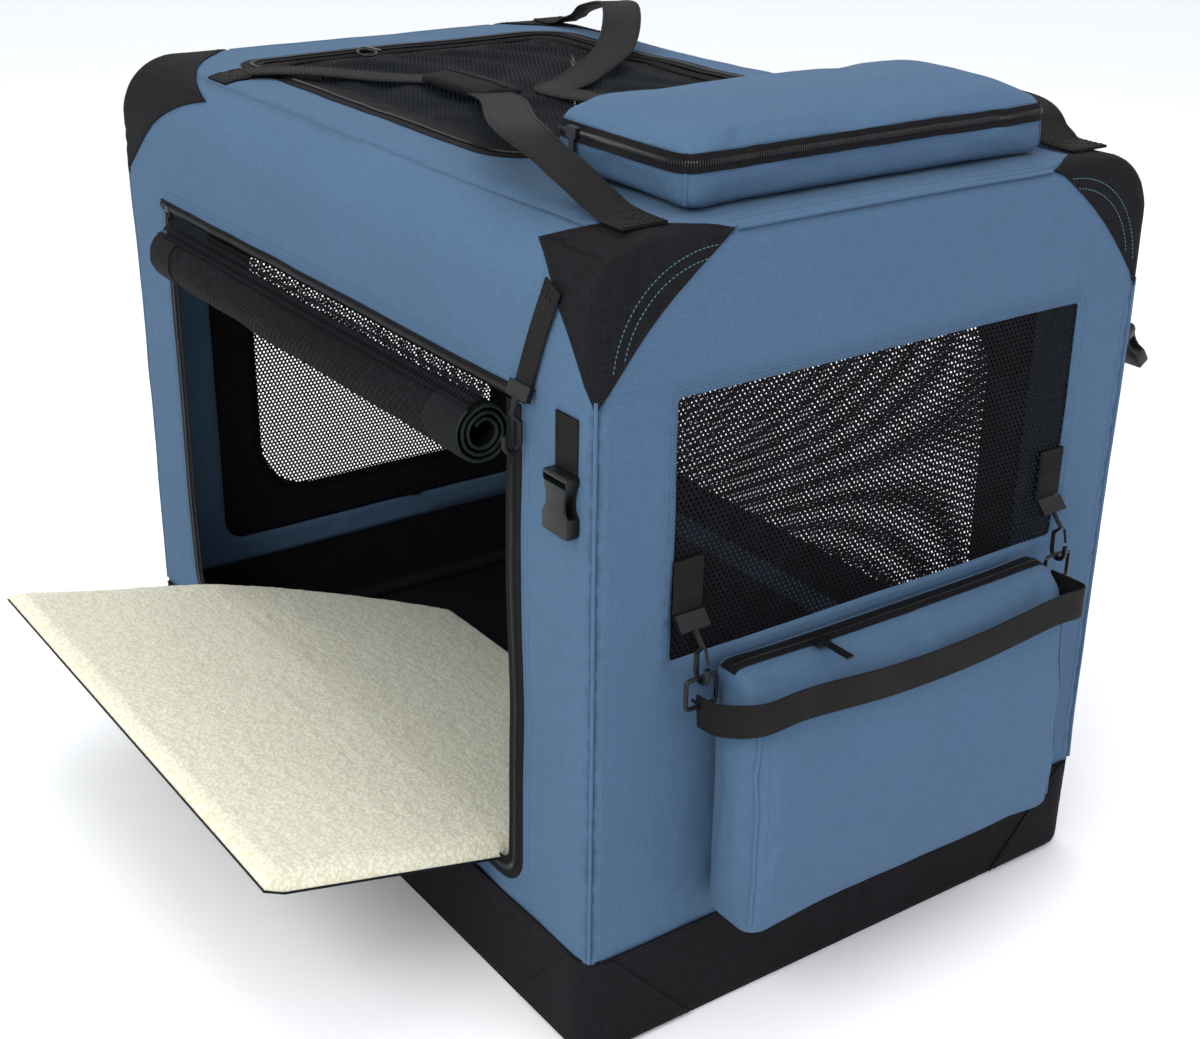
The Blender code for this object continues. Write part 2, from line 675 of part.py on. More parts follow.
def top_pouch():
    """A soft pouch with a crowned lid, a little narrower at its top."""
    low, high = (POUCH_LEFT, POUCH_FRONT), (POUCH_RIGHT, POUCH_REAR)
    middle = ((low[0] + high[0]) / 2, (low[1] + high[1]) / 2)
    shape = bmesh.new()
    base = HEIGHT + GAP
    shoulder = base + POUCH_HEIGHT * POUCH_SHOULDER_SHARE
    levels = [(base, 0), (shoulder, 0), (base + POUCH_HEIGHT, POUCH_TAPER)]
    rings = []
    for height, taper in levels:
        points = rounded(
            (low[0] + taper, low[1] + taper), (high[0] - taper, high[1] - taper), [POUCH_RADIUS] * 4
        )
        rings.append([shape.verts.new((u, v, height)) for u, v in points])
    for share in POUCH_CROWN_SHARES:
        last = rings[2]
        rise = POUCH_CROWN * math.sqrt(1 - share * share)
        rings.append(
            [
                shape.verts.new(
                    (
                        middle[0] + (v.co.x - middle[0]) * share,
                        middle[1] + (v.co.y - middle[1]) * share,
                        base + POUCH_HEIGHT + rise,
                    )
                )
                for v in last
            ]
        )
    shape.faces.new(rings[0])
    for first, second in zip(rings, rings[1:]):
        for j in range(len(first)):
            k = (j + 1) % len(first)
            shape.faces.new((first[j], first[k], second[k], second[j]))
    shape.faces.new(rings[-1])
    as_object("top_pouch", shape, "blue cloth", smooth=True)


def zip_slider(name, seat, axis, outward):
    """A slider on a zipper, with its pull. It sits on seat and faces along the axis."""
    w = seat["XYZ".index(axis)]
    u, v = (value for value, letter in zip(seat, "XYZ") if letter != axis)
    half = Vector((SLIDER_LENGTH / 2, SLIDER_WIDTH / 2))
    outline = rounded((u - half.x, v - half.y), (u + half.x, v + half.y), [PULL] * 4)
    body = plate(name, outline, axis, *sorted((w, w + SLIDER * outward)), "dark metal")
    side = PULL_WIDTH / 2
    end = v - PULL_LENGTH
    low = w + SLIDER / 2 * outward
    strip = [(u - side, v), (u + side, v), (u + side, end), (u - side, end)]
    boolean(body, plate(name + "_pull", strip, axis, *sorted((low, low + PULL * outward))), "UNION")


def on_edge_of_roof(x_side, y, turn):
    """A strap's point over the roof's rounded edge, turned from the top in degrees."""
    reach = ROOF_RADIUS + 2 * GAP + HANDLE / 2
    angle = math.radians(turn)
    return ((HALF_W - ROOF_RADIUS + reach * math.sin(angle)) * x_side, y, reach * math.cos(angle) - ROOF_RADIUS)


def handle_foot(x_side, y_side):
    """A strap's sewn end on a corner patch, from its end to where it rises."""
    x = HALF_W - ROOF_RADIUS
    end = HALF_L - FOOT_INSET
    flat = PATCH + 2 * GAP + HANDLE / 2
    spots = [(x, end, flat), (x, end - FOOT_STEP, flat), (x, end - 2 * FOOT_STEP, flat + HANDLE / 2)]
    spots.append((x + HANDLE_LEAN, end - 3 * FOOT_STEP, flat + HANDLE_LIFT))
    return [(u * x_side, v * y_side, rise) for u, v, rise in spots]


def over_roof(shares):
    """The points of a strap's free stretch, from shares of the roof's half sizes and of the strap's rise."""
    return [(u * HALF_W, v * HALF_L, rise * HANDLE_RISE) for u, v, rise in shares]


# Carry handles, whose free stretches over the roof were chosen by hand
HANDLE_LEFT_SHARES = [
    (-0.728, 0.612, 0.100),
    (-0.591, 0.525, 0.155),
    (-0.402, 0.394, 0.100),
    (-0.260, 0.249, 0.163),
    (-0.276, 0.105, 0.163),
    (-0.433, -0.131, 0.450),
    (-0.709, -0.446, 0.850),
    (-0.843, -0.630, 1.000),
    (-0.835, -0.745, 0.650),
]
HANDLE_RIGHT_SHARES = [
    (0.830, 0.745, 0.650),
    (0.709, 0.525, 0.950),
    (0.433, 0.289, 0.450),
    (0.138, 0.158, 0.113),
    (-0.047, 0.053, 0.113),
    (0.079, -0.158, 0.150),
    (0.433, -0.368, 0.300),
    (0.807, -0.525, 0.600),
    (0.835, -0.745, 0.650),
]
HANDLE_LEFT_FOOT_SHARE = 0.62
HANDLE_LEFT_ROUTE = [
    *(on_edge_of_roof(-1, HALF_L * HANDLE_LEFT_FOOT_SHARE, turn) for turn in (19, 9.5, 0)),
    *over_roof(HANDLE_LEFT_SHARES),
    *reversed(handle_foot(-1, -1)),
]
HANDLE_RIGHT_ROUTE = [*handle_foot(1, 1), *over_roof(HANDLE_RIGHT_SHARES), *reversed(handle_foot(1, -1))]


def handle(name, route):
    path = smooth_path([Vector((x, y, HEIGHT + z)) for x, y, z in route], 4)
    ribbon(name, path, HANDLE_WIDTH, HANDLE, Vector((0, 0, 1)))


def handle_grip():
    """The padded wrap round the left handle's middle."""
    a, b = (Vector(HANDLE_LEFT_ROUTE[i]) for i in (6, 7))
    along = (a - b).normalized()
    middle = (a + b) / 2 + Vector((0, 0, HEIGHT))
    half = GRIP_LENGTH / 2
    path = [middle - along * half, middle + along * half]
    wide, deep = HANDLE_WIDTH / 2 + GRIP_WALL, HANDLE / 2 + GAP + GRIP_WALL / 2
    low, high = (-wide, -deep), (wide, deep)
    grip = as_object("handle_grip", sweep(path, rounded(low, high, [GRIP_WALL / 2] * 4), Vector((0, 0, 1))), "webbing")
    bore_path = smooth_path([Vector((x, y, HEIGHT + z)) for x, y, z in HANDLE_LEFT_ROUTE], 4)
    wide, deep = HANDLE_WIDTH / 2 + GAP, HANDLE / 2 + GAP
    bore = sweep(bore_path, flat_section(wide, deep), Vector((0, 0, 1)))
    boolean(grip, as_object("handle_grip_bore", bore), "DIFFERENCE")


# Buckles and door strap


def turned(point, hinge, angle, x_side):
    """A point swung outward about a line along Y through the hinge."""
    x, z = (point[0] - hinge[0]) * x_side, point[1] - hinge[1]
    return (
        hinge[0] + (x * math.cos(angle) - z * math.sin(angle)) * x_side,
        hinge[1] + x * math.sin(angle) + z * math.cos(angle),
    )


def buckle(name, x_side, angle):
    """The female half of a side-release buckle below its webbing stub, with its mouth down and a window each side."""
    face = (HALF_W + GAP + STRAP) * x_side
    hinge = (face, STUB_TOP)
    middle = -HALF_L + BUCKLE_FROM_END
    near = (HALF_W + GAP) * x_side
    stub_end = STUB_TOP - STUB_LENGTH
    corners = [(near, STUB_TOP + SEAM), (near, STUB_TOP), (near, stub_end), (face, stub_end), (face, STUB_TOP + SEAM)]
    bent = [turned(p, (near, STUB_TOP), angle, x_side) if p[1] < STUB_TOP else p for p in corners]
    half = STRAP_WIDTH / 2
    plate(name + "_stub", bent, "Y", middle - half, middle + half, "webbing")
    top = stub_end - GAP
    inner = near + x_side * (STRAP - BUCKLE) / 2
    if angle == 0:
        inner = near
    outer = inner + BUCKLE * x_side
    flat = [(inner, top), (outer, top), (outer, top - BUCKLE_LENGTH), (inner, top - BUCKLE_LENGTH)]
    outline = [turned(p, (near, STUB_TOP), angle, x_side) for p in flat]
    half = BUCKLE_WIDTH / 2
    body = plate(name, outline, "Y", middle - half, middle + half, "black plastic")
    low, high = sorted((inner + BUCKLE_WALL * x_side, outer - BUCKLE_WALL * x_side))
    foot = top - BUCKLE_LENGTH
    mouth = [(low, foot - OVERRUN), (high, foot - OVERRUN), (high, foot + BUCKLE_DEPTH), (low, foot + BUCKLE_DEPTH)]
    mouth = [turned(p, (near, STUB_TOP), angle, x_side) for p in mouth]
    cut(body, mouth, "Y", middle - half + BUCKLE_WALL, middle + half - BUCKLE_WALL)
    wide = (outer - inner) / 2
    at = (inner + wide, foot + BUCKLE_WINDOW)
    tall = BUCKLE_WINDOW_HEIGHT / 2
    thin = abs(wide) - BUCKLE_WALL
    low, high = at[0] - thin, at[0] + thin
    gap = [(low, at[1] - tall), (high, at[1] - tall), (high, at[1] + tall), (low, at[1] + tall)]
    gap = [turned(p, (near, STUB_TOP), angle, x_side) for p in gap]
    cut(body, gap, "Y", middle - half - OVERRUN, middle + half + OVERRUN)


# The strap's route from the corner patch to its hook, as distance in front of the middle and height
DOOR_STRAP_TO_END = 0.048
DOOR_STRAP_TO_TOP = 0.044
DOOR_STRAP_SLANT = 0.015
DOOR_STRAP_FALL = 0.029
DOOR_STRAP_ROUTE = [
    (HALF_L - DOOR_STRAP_TO_END - i * DOOR_STRAP_SLANT, HEIGHT - DOOR_STRAP_TO_TOP - i * DOOR_STRAP_FALL)
    for i in range(3)
]


def door_strap():
    """The webbing from the corner patch down to the hook that holds the rolled door, and the hook."""
    out = HALF_W + PATCH + STRAP / 2 + 2 * GAP
    path = smooth_path([Vector((-out, -y, z)) for y, z in DOOR_STRAP_ROUTE], 3)
    ribbon("door_strap", path, DOOR_STRAP_WIDTH, STRAP, Vector((-1, 0, 0)))
    end_y, end_z = DOOR_STRAP_ROUTE[-1]
    back = HOOK_BEND + HOOK_WIRE
    top = HOOK_NECK + 3 * HOOK_BEND
    bar = Vector((-out - back, -end_y, end_z - top - HOOK_EYE - DOOR_STRAP_WIDTH / 3 + 4 * GAP))
    hook("door", bar, Vector((-1, 0, 0)), back, top, gated=False)


# Front bag and its hangers


def front_bag():
    """The bag: a box of cloth with a front that bulges a little, and a flat back."""
    back = -HALF_L - GAP
    front = back - BAG_DEPTH
    shape = bmesh.new()
    depths = [(back, 0), (front + BAG_BULGE, 0), (front, BAG_BULGE * 2)]
    rings = []
    for depth, inset in depths:
        low, high = (inset - BAG_HALF, BAG_FOOT + inset), (BAG_HALF - inset, BAG_TOP - inset)
        rings.append([shape.verts.new((u, depth, v)) for u, v in rounded(low, high, [BAG_RADIUS] * 4)])
    shape.faces.new(rings[0])
    for first, second in zip(rings, rings[1:]):
        for j in range(len(first)):
            k = (j + 1) % len(first)
            shape.faces.new((first[j], first[k], second[k], second[j]))
    shape.faces.new(rings[-1])
    as_object("front_bag", shape, "blue cloth", smooth=True)


def bag_ring(name, side):
    """A square ring of wire, whose upper bar lies in the hook."""
    radius = RING_WIRE * 2
    middle = HANG_X * side
    low, high = (middle - RING_HALF, HANG_HEIGHT - RING_DROP), (middle + RING_HALF, HANG_HEIGHT)
    path = [Vector((u, HANG_Y, v)) for u, v in rounded(low, high, [radius] * 4)]
    shape = sweep(path, disc((0, 0), RING_WIRE, 8), Vector((0, 1, 0)), closed=True)
    as_object(name, shape, "dark metal", smooth=True)


def hook_path(top):
    """A hook seen from the side, from its tip round the bar that lies in it to its neck, as (out, height)."""
    bend = arc((0, 0), HOOK_BEND, 0, -180)
    return [(HOOK_BEND, HOOK_BEND), *bend, (-HOOK_BEND, HOOK_NECK), (0, HOOK_NECK + HOOK_BEND), (0, top)]


def hook(end, bar, outward, back, top, gated):
    """A bent wire hook under a tab, with a broad flat eye on top and, if gated, a sprung gate across its mouth.

    bar is the middle of what lies in the hook, outward the way its mouth faces, back how far the eye leans to its tab.
    """
    up = Vector((0, 0, 1))
    side_axis = outward.cross(up)

    def at(out, height):
        lean = max(0, height - HOOK_NECK - HOOK_BEND) / (top + HOOK_EYE - HOOK_NECK - HOOK_BEND)
        return bar + outward * (out - back * lean) + up * height

    path = [at(out, height) for out, height in hook_path(top)]
    wire = sweep(path, disc((0, 0), HOOK_WIRE, 8), side_axis)
    body = as_object(end + "_hook", wire, "dark metal", smooth=True)
    eye_path = [at(0, top - HOOK_WIRE), at(0, top + HOOK_EYE)]
    eye = sweep(eye_path, flat_section(TAB_HALF, HOOK_WIRE), outward)
    boolean(body, as_object(end + "_hook_eye", eye), "UNION")
    if gated:
        clear = HOOK_WIRE + GATE_WIRE + GAP
        gate_path = [at(HOOK_BEND, HOOK_BEND + clear), at(clear, HOOK_NECK + HOOK_BEND)]
        gate = sweep(gate_path, disc((0, 0), GATE_WIRE, 8), side_axis)
        as_object(end + "_gate", gate, "dark metal", smooth=True)


def hanger(name_end, side):
    """A webbing tab sewn to the wall, and the hook below it that the bag's ring hangs in."""
    face = -HALF_L - GAP
    x = HANG_X * side
    outline = [(x - TAB_HALF, TAB_FOOT), (x + TAB_HALF, TAB_FOOT), (x + TAB_HALF, TAB_TOP), (x - TAB_HALF, TAB_TOP)]
    plate("bag_tab_" + name_end, outline, "Y", face - TAB, face, "webbing")
    top = TAB_FOOT - GAP - HOOK_EYE - HANG_HEIGHT - HOOK_BEND + HOOK_WIRE + RING_WIRE + GAP
    seat = HOOK_BEND - HOOK_WIRE - RING_WIRE - GAP
    bar = Vector((x, HANG_Y, HANG_HEIGHT + seat))
    hook("bag_" + name_end, bar, Vector((0, -1, 0)), HANG_DISTANCE - TAB - GAP, top, gated=True)


# The bag strap's half route, as shares of the hooks' distance, the bag's depth and the strap's drop
BAG_STRAP_SHARES = [
    (1.000, -0.046, 1.000),
    (0.986, 0.292, 0.943),
    (0.893, 0.677, 0.738),
    (0.678, 0.754, 0.615),
    (0.226, 0.754, 0.760),
]


def bag_strap():
    """The shoulder strap across the bag's front, from ring to ring."""
    left = [
        Vector((-u * HANG_X, HANG_Y - out * BAG_DEPTH, HANG_HEIGHT - drop * BAG_STRAP_DROP))
        for u, out, drop in BAG_STRAP_SHARES
    ]
    right = [Vector((-p.x, p.y, p.z)) for p in reversed(left)]
    path = smooth_path(left + right, 3)
    on_edge = flat_section(STRAP / 2, STRAP_WIDTH / 2)
    as_object("bag_strap", sweep(path, on_edge, Vector((0, 0, 1))), "webbing")


# Fleece mat


def mat_top(x):
    """The height of the mat's upper face: from the floor, over the sill and out of the doorway, a little raised."""
    if x <= -HALF_W:
        share = (-HALF_W - x) / (-HALF_W - MAT_OUTER)
        return MAT_SILL_TOP + (MAT_OUTER_TOP - MAT_SILL_TOP) * share
    share = (x + HALF_W) / (MAT_INNER + HALF_W)
    lift = MAT_INNER_RISE * (MAT_SILL_TOP - MAT_INNER_TOP) * share * (1 - share) / 2
    return MAT_SILL_TOP + (MAT_INNER_TOP - MAT_SILL_TOP) * share + lift


def fleece_mat():
    """A padded mat with drawn-in edges, bent over the doorway's sill."""
    steps = 4 * ARC_STEPS
    columns = [MAT_OUTER + (MAT_INNER - MAT_OUTER) * i / steps for i in range(steps + 1)]
    rows = [-MAT_HALF, MAT_EDGE * 2 - MAT_HALF, MAT_HALF - MAT_EDGE * 2, MAT_HALF]
    shape = bmesh.new()

    def layer(upper):
        made = []
        for i, x in enumerate(columns):
            line = []
            for j, y in enumerate(rows):
                rim = i in (0, steps) or j in (0, len(rows) - 1)
                half = MAT_EDGE if rim else MAT / 2
                middle = mat_top(x) - MAT / 2
                line.append(shape.verts.new((x, y, middle + half if upper else middle - half)))
            made.append(line)
        return made

    top, bottom = layer(True), layer(False)
    for grid in (top, bottom):
        for i in range(steps):
            for j in range(len(rows) - 1):
                shape.faces.new((grid[i][j], grid[i + 1][j], grid[i + 1][j + 1], grid[i][j + 1]))
    rim = [(i, 0) for i in range(steps)] + [(steps, j) for j in range(len(rows) - 1)]
    rim += [(i, len(rows) - 1) for i in range(steps, 0, -1)] + [(0, j) for j in range(len(rows) - 1, 0, -1)]
    for (a, b), (c, d) in zip(rim, rim[1:] + rim[:1]):
        shape.faces.new((top[a][b], top[c][d], bottom[c][d], bottom[a][b]))
    as_object("fleece_mat", shape, "fleece", smooth=True)


SIDES = {"left": -1, "right": 1}
ENDS = {"front": -1, "rear": 1}


def build():
    clear_scene()
    base_tray()
    floor_board()
    base_ring()
    for end, y_side in ENDS.items():
        upper_hoop(end + "_upper_hoop", y_side)
        along = PATCH_ALONG_FRONT if y_side < 0 else PATCH_ALONG_REAR
        for side, x_side in SIDES.items():
            corner = end + "_" + side
            foot_patch("foot_patch_" + corner, x_side, y_side)
            bracket("bracket_" + corner, x_side, y_side)
            lower_post("post_" + corner, x_side, y_side)
            corner_patch("corner_patch_" + corner, x_side, y_side, along)
    for side, x_side in SIDES.items():
        roof_rod("roof_rod_" + side, x_side)
        side_wall("wall_" + side, x_side)
        bag_ring("bag_ring_" + side, x_side)
        hanger(side, x_side)
    end_wall("wall_front", -1)
    end_wall("wall_rear", 1)
    window_mesh()
    zipped_door("side_door", doorway, "X", 1, HALF_W)
    zipped_door("rear_door", rear_doorway, "Y", 1, HALF_L)
    doorway_tape()
    door_roll()
    roof_panel()
    roof_door()
    top_pouch()
    pouch_zip = HEIGHT + POUCH_HEIGHT * POUCH_ZIP_SHARE
    zip_slider("pouch_zipper_slider", (POUCH_LEFT - GAP, POUCH_REAR - POUCH_RADIUS * 2, pouch_zip), "X", -1)
    handle("handle_left", HANDLE_LEFT_ROUTE)
    handle("handle_right", HANDLE_RIGHT_ROUTE)
    handle_grip()
    buckle("buckle_left", -1, 0)
    buckle("buckle_right", 1, STUB_TURN)
    door_strap()
    front_bag()
    bag_strap()
    zip_slider("bag_zipper_slider", (-BAG_HALF / 2, -HALF_L - BAG_DEPTH / 2, BAG_TOP + GAP), "Z", 1)
    fleece_mat()


build()
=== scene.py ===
"""Soft folding dog crate, dressed: cloth, mesh, webbing, fleece and fittings over the folding steel frame."""

import math

import bmesh
import bpy
import numpy as np
from mathutils import Matrix, Vector, geometry, noise
from mathutils.bvhtree import BVHTree


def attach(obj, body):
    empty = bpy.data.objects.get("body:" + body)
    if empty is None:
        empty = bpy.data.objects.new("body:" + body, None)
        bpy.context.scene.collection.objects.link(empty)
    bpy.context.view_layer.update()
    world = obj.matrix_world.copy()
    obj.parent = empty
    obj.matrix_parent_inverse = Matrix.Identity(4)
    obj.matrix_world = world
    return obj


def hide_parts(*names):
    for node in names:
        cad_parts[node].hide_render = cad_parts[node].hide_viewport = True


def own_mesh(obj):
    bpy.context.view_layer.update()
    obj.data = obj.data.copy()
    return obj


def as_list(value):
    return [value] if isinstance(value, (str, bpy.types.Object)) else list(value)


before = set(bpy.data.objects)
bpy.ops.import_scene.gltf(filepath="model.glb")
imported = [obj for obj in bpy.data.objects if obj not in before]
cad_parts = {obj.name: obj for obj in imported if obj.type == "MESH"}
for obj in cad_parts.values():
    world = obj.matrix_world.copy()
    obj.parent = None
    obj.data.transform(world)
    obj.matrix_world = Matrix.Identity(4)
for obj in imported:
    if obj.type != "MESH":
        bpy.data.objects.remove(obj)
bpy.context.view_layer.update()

# The cabin's sizes, as the model has them
HALF_W, HALF_L, TOP = 0.254, 0.381, 0.610
BAND_TOP, BAND_PROUD = 0.085, 0.004
ROOF_ROUND, EDGE_ROUND = 0.050, 0.010
DOOR_HALF, DOOR_SILL, DOOR_TOP = 0.288, 0.108, 0.490
WINDOW_HALF, WINDOW_FOOT, WINDOW_TOP = 0.189, 0.312, 0.503
REAR_HALF = 0.185
ROOF_DOOR = ((-0.168, -0.145), (0.168, 0.300))
POUCH_LOW, POUCH_HIGH, POUCH_RISE = (-0.165, -0.348), (0.175, -0.192), 0.048
WALL_FOOT = BAND_TOP - 0.004

# How far a row of stitches stands off its cloth, and how far apart the points of its line are
ROW_LIFT, LINE_STEP = 0.0003, 0.006
# Numbers given to pieces on the folding frame, and a level for the patches: a piece given a number gets its
# own copy of its mesh and its stitches carry the number in their name; the level is not used
KEEP, PATCH_KEEP, PATCH_ANCHOR = 0.137, 0.45, 0.611

UP, ACROSS, FRONTWARD = Vector((0, 0, 1)), Vector((1, 0, 0)), Vector((0, -1, 0))
ENDS, SIDES = (("front", -1), ("rear", 1)), (("left", -1), ("right", 1))


# Camera


LENS, CAMERA_PLACE = 53.43, (-0.84779, -1.22087, 0.89656)
YAW, PITCH, ROLL = math.radians(35.483), math.radians(24.178), math.radians(-0.83)


def linked(name, data):
    """A new object in the scene."""
    obj = bpy.data.objects.new(name, data)
    bpy.context.scene.collection.objects.link(obj)
    return obj


def photo_camera():
    """The camera at the photograph's viewing angle."""
    data = bpy.data.cameras.new("photo_camera")
    data.sensor_width, data.lens = 36.0, LENS
    level = math.cos(PITCH)
    forward = Vector((math.sin(YAW) * level, math.cos(YAW) * level, -math.sin(PITCH)))
    right = forward.cross(UP).normalized()
    turn = Matrix.Rotation(ROLL, 3, forward)
    above = turn @ right.cross(forward)
    camera = linked("photo_camera", data)
    spot = Matrix((turn @ right, above, -forward)).transposed().to_4x4()
    spot.translation = Vector(CAMERA_PLACE)
    camera.matrix_world = spot
    bpy.context.scene.camera = camera


photo_camera()


# Colours and materials


def colour(code):
    """An sRGB hex value as a linear colour."""
    values = (int(code[i : i + 2], 16) / 255 for i in (0, 2, 4))
    return (*(v / 12.92 if v <= 0.04045 else ((v + 0.055) / 1.055) ** 2.4 for v in values), 1.0)


def add(tree, kind, settings=None, links=None, out=0):
    """One output of a new node, set and linked by an input's name or number, or a property's name."""
    node = tree.nodes.new(kind)
    for name, value in (settings or {}).items():
        if isinstance(name, int) or name in node.inputs:
            node.inputs[name].default_value = value
        else:
            setattr(node, name, value)
    for name, source in (links or {}).items():
        tree.links.new(source, node.inputs[name])
    return node.outputs[out] if len(node.outputs) else None


def surface(name, settings):
    """A new material, its tree and its shader, with the shader's constants set."""
    made = bpy.data.materials.new(name)
    made.use_nodes = True
    shader = made.node_tree.nodes["Principled BSDF"]
    for socket, value in settings.items():
        shader.inputs[socket].default_value = value
    return made, made.node_tree, shader


def paint(tree, shader, source, stops):
    """The base colour, from a value through stops of (place, hex)."""
    tint = add(tree, "ShaderNodeValToRGB", links={"Fac": source})
    elements = tint.node.color_ramp.elements
    while len(elements) < len(stops):
        elements.new(0.5)
    for element, (at, code) in zip(elements, stops):
        element.position = at
        element.color = colour(code)
    tree.links.new(tint, shader.inputs["Base Color"])


def relief(tree, shader, height, depth, strength=1.0, under=None):
    """Raises the surface by a height, to a depth in metres, over other relief or alone."""
    links = {"Height": height, "Normal": under} if under else {"Height": height}
    raised = add(tree, "ShaderNodeBump", {"Distance": depth, "Strength": strength}, links)
    tree.links.new(raised, shader.inputs["Normal"])
    return raised


def thread_wave(tree, value, pitch):
    """The rounded back of threads a pitch apart along one coordinate, from 0 to 1."""
    turned = add(tree, "ShaderNodeMath", {"operation": "MULTIPLY", 1: math.pi / pitch}, {0: value})
    wave = add(tree, "ShaderNodeMath", {"operation": "SINE"}, {0: turned})
    return add(tree, "ShaderNodeMath", {"operation": "ABSOLUTE"}, {0: wave})


def woven(name, dark, middle, light, pitch, sheen, roughness):
    """Plain-woven cloth: threads that pass over and under each other, a faint heather and a soft sheen."""
    settings = {"Roughness": roughness, "Sheen Weight": sheen, "Sheen Roughness": 0.45}
    made, tree, shader = surface(name, {**settings, "Specular IOR Level": 0.06})
    uv = add(tree, "ShaderNodeUVMap", {"uv_map": "cloth"})
    parts = add(tree, "ShaderNodeSeparateXYZ", links={"Vector": uv}).node.outputs
    warp, weft = (thread_wave(tree, parts[axis], pitch) for axis in "XY")
    cells = add(tree, "ShaderNodeMapping", {"Scale": (1 / pitch, 1 / pitch, 0)}, {"Vector": uv})
    over = add(tree, "ShaderNodeTexChecker", {"Scale": 1.0}, {"Vector": cells}, "Fac")
    weave = add(tree, "ShaderNodeMix", {"data_type": "FLOAT"}, {0: over, 2: warp, 3: weft})
    # Streaks 1.4 mm wide and 17 mm long, down the cloth and across it, as uneven yarn gives
    streaks = []
    for scale in ((60, 700, 1), (700, 60, 1)):
        drawn = {"Vector": add(tree, "ShaderNodeMapping", {"Scale": scale}, {"Vector": uv})}
        streaks.append(add(tree, "ShaderNodeTexNoise", {"Scale": 1.0, "Detail": 2.0}, drawn, "Fac"))
    heather = add(tree, "ShaderNodeMix", {"data_type": "FLOAT", 0: 0.5}, {2: streaks[0], 3: streaks[1]})
    place = {"Vector": add(tree, "ShaderNodeTexCoord", out="Object")}
    cloud = add(tree, "ShaderNodeTexNoise", {"Scale": 9.0, "Detail": 3.0}, place, "Fac")
    mixed = add(tree, "ShaderNodeMath", {"operation": "MULTIPLY_ADD", 1: 0.22}, {0: cloud, 2: heather})
    paint(tree, shader, mixed, [(0.42, dark), (0.61, middle), (0.80, light)])
    settings = {"Scale": 13.0, "Detail": 2.5, "Distortion": 1.6}
    creases = add(tree, "ShaderNodeTexNoise", settings, place, "Fac")
    creased = relief(tree, shader, creases, 0.006, 0.5)
    relief(tree, shader, weave, pitch * 0.22, 0.8, creased)
    return made


def plain(name, code, second, roughness, grain, depth, metallic=0.0, gloss=0.5):
    """A solid material with a fine grain and a slow change of colour and gloss."""
    settings = {"Roughness": roughness, "Metallic": metallic, "Specular IOR Level": gloss}
    made, tree, shader = surface(name, settings)
    place = {"Vector": add(tree, "ShaderNodeTexCoord", out="Object")}
    slow = add(tree, "ShaderNodeTexNoise", {"Scale": 40.0, "Detail": 2.0}, place, "Fac")
    paint(tree, shader, slow, [(0.35, code), (0.7, second)])
    reach = {"To Min": roughness - 0.06, "To Max": roughness + 0.1}
    tree.links.new(add(tree, "ShaderNodeMapRange", reach, {"Value": slow}), shader.inputs["Roughness"])
    fine = add(tree, "ShaderNodeTexNoise", {"Scale": 1 / grain, "Detail": 3.0}, place, "Fac")
    relief(tree, shader, fine, depth)
    return made


def fleece_material():
    """Sherpa fleece: curled tufts about 3 mm across, warm white, with painted shade darkening the hollows
    between them.
    """
    settings = {"Roughness": 0.95, "Sheen Weight": 0.35, "Sheen Roughness": 0.6, "Specular IOR Level": 0.1}
    made, tree, shader = surface("sherpa_fleece", settings)
    place = add(tree, "ShaderNodeTexCoord", out="Object")
    drift = add(tree, "ShaderNodeTexNoise", {"Scale": 90.0, "Detail": 2.0}, {"Vector": place}, "Color")
    settings = {"operation": "MULTIPLY_ADD", 1: (0.006, 0.006, 0.006)}
    shifted = {"Vector": add(tree, "ShaderNodeVectorMath", settings, {0: drift, 2: place})}
    curls = add(tree, "ShaderNodeTexVoronoi", {"Scale": 300.0}, shifted, "Distance")
    fibres = add(tree, "ShaderNodeTexNoise", {"Scale": 700.0, "Detail": 4.0}, shifted, "Fac")
    height = add(tree, "ShaderNodeMath", {"operation": "MULTIPLY_ADD", 1: 0.5}, {0: fibres, 2: curls})
    # The hollows between the curls, where this value is largest, are painted darker: painted shade
    paint(tree, shader, height, [(0.20, "DFDDC9"), (0.62, "D9D6C0"), (0.95, "C9C5AA")])
    hollows = add(tree, "ShaderNodeMath", {"operation": "MULTIPLY", 1: -1.0}, {0: height})
    relief(tree, shader, hollows, 0.0008, 0.6)
    return made


def webbing_material():
    """Polyester webbing: close ribs across a strap 2 mm apart, and finer cords along it, with painted
    highlight on their crests and painted shade between them.
    """
    made, tree, shader = surface("black_polyester_webbing", {"Roughness": 0.7, "Specular IOR Level": 0.12})
    uv = add(tree, "ShaderNodeUVMap", {"uv_map": "cloth"})
    parts = add(tree, "ShaderNodeSeparateXYZ", links={"Vector": uv}).node.outputs
    cords, ribs = thread_wave(tree, parts["X"], 0.0017), thread_wave(tree, parts["Y"], 0.0021)
    both = add(tree, "ShaderNodeMath", {"operation": "MULTIPLY"}, {0: cords, 1: ribs})
    place = {"Vector": add(tree, "ShaderNodeTexCoord", out="Object")}
    cloud = add(tree, "ShaderNodeTexNoise", {"Scale": 30.0, "Detail": 3.0}, place, "Fac")
    # The colour follows the threads' height: crests are painted lighter as painted highlight and hollows
    # darker as painted shade, over a random cloud of tone
    mixed = add(tree, "ShaderNodeMath", {"operation": "MULTIPLY_ADD", 1: 0.55}, {0: both, 2: cloud})
    paint(tree, shader, mixed, [(0.35, "0B0B0A"), (0.7, "131312"), (1.0, "1D1D1C")])
    relief(tree, shader, both, 0.0006, 0.9)
    return made


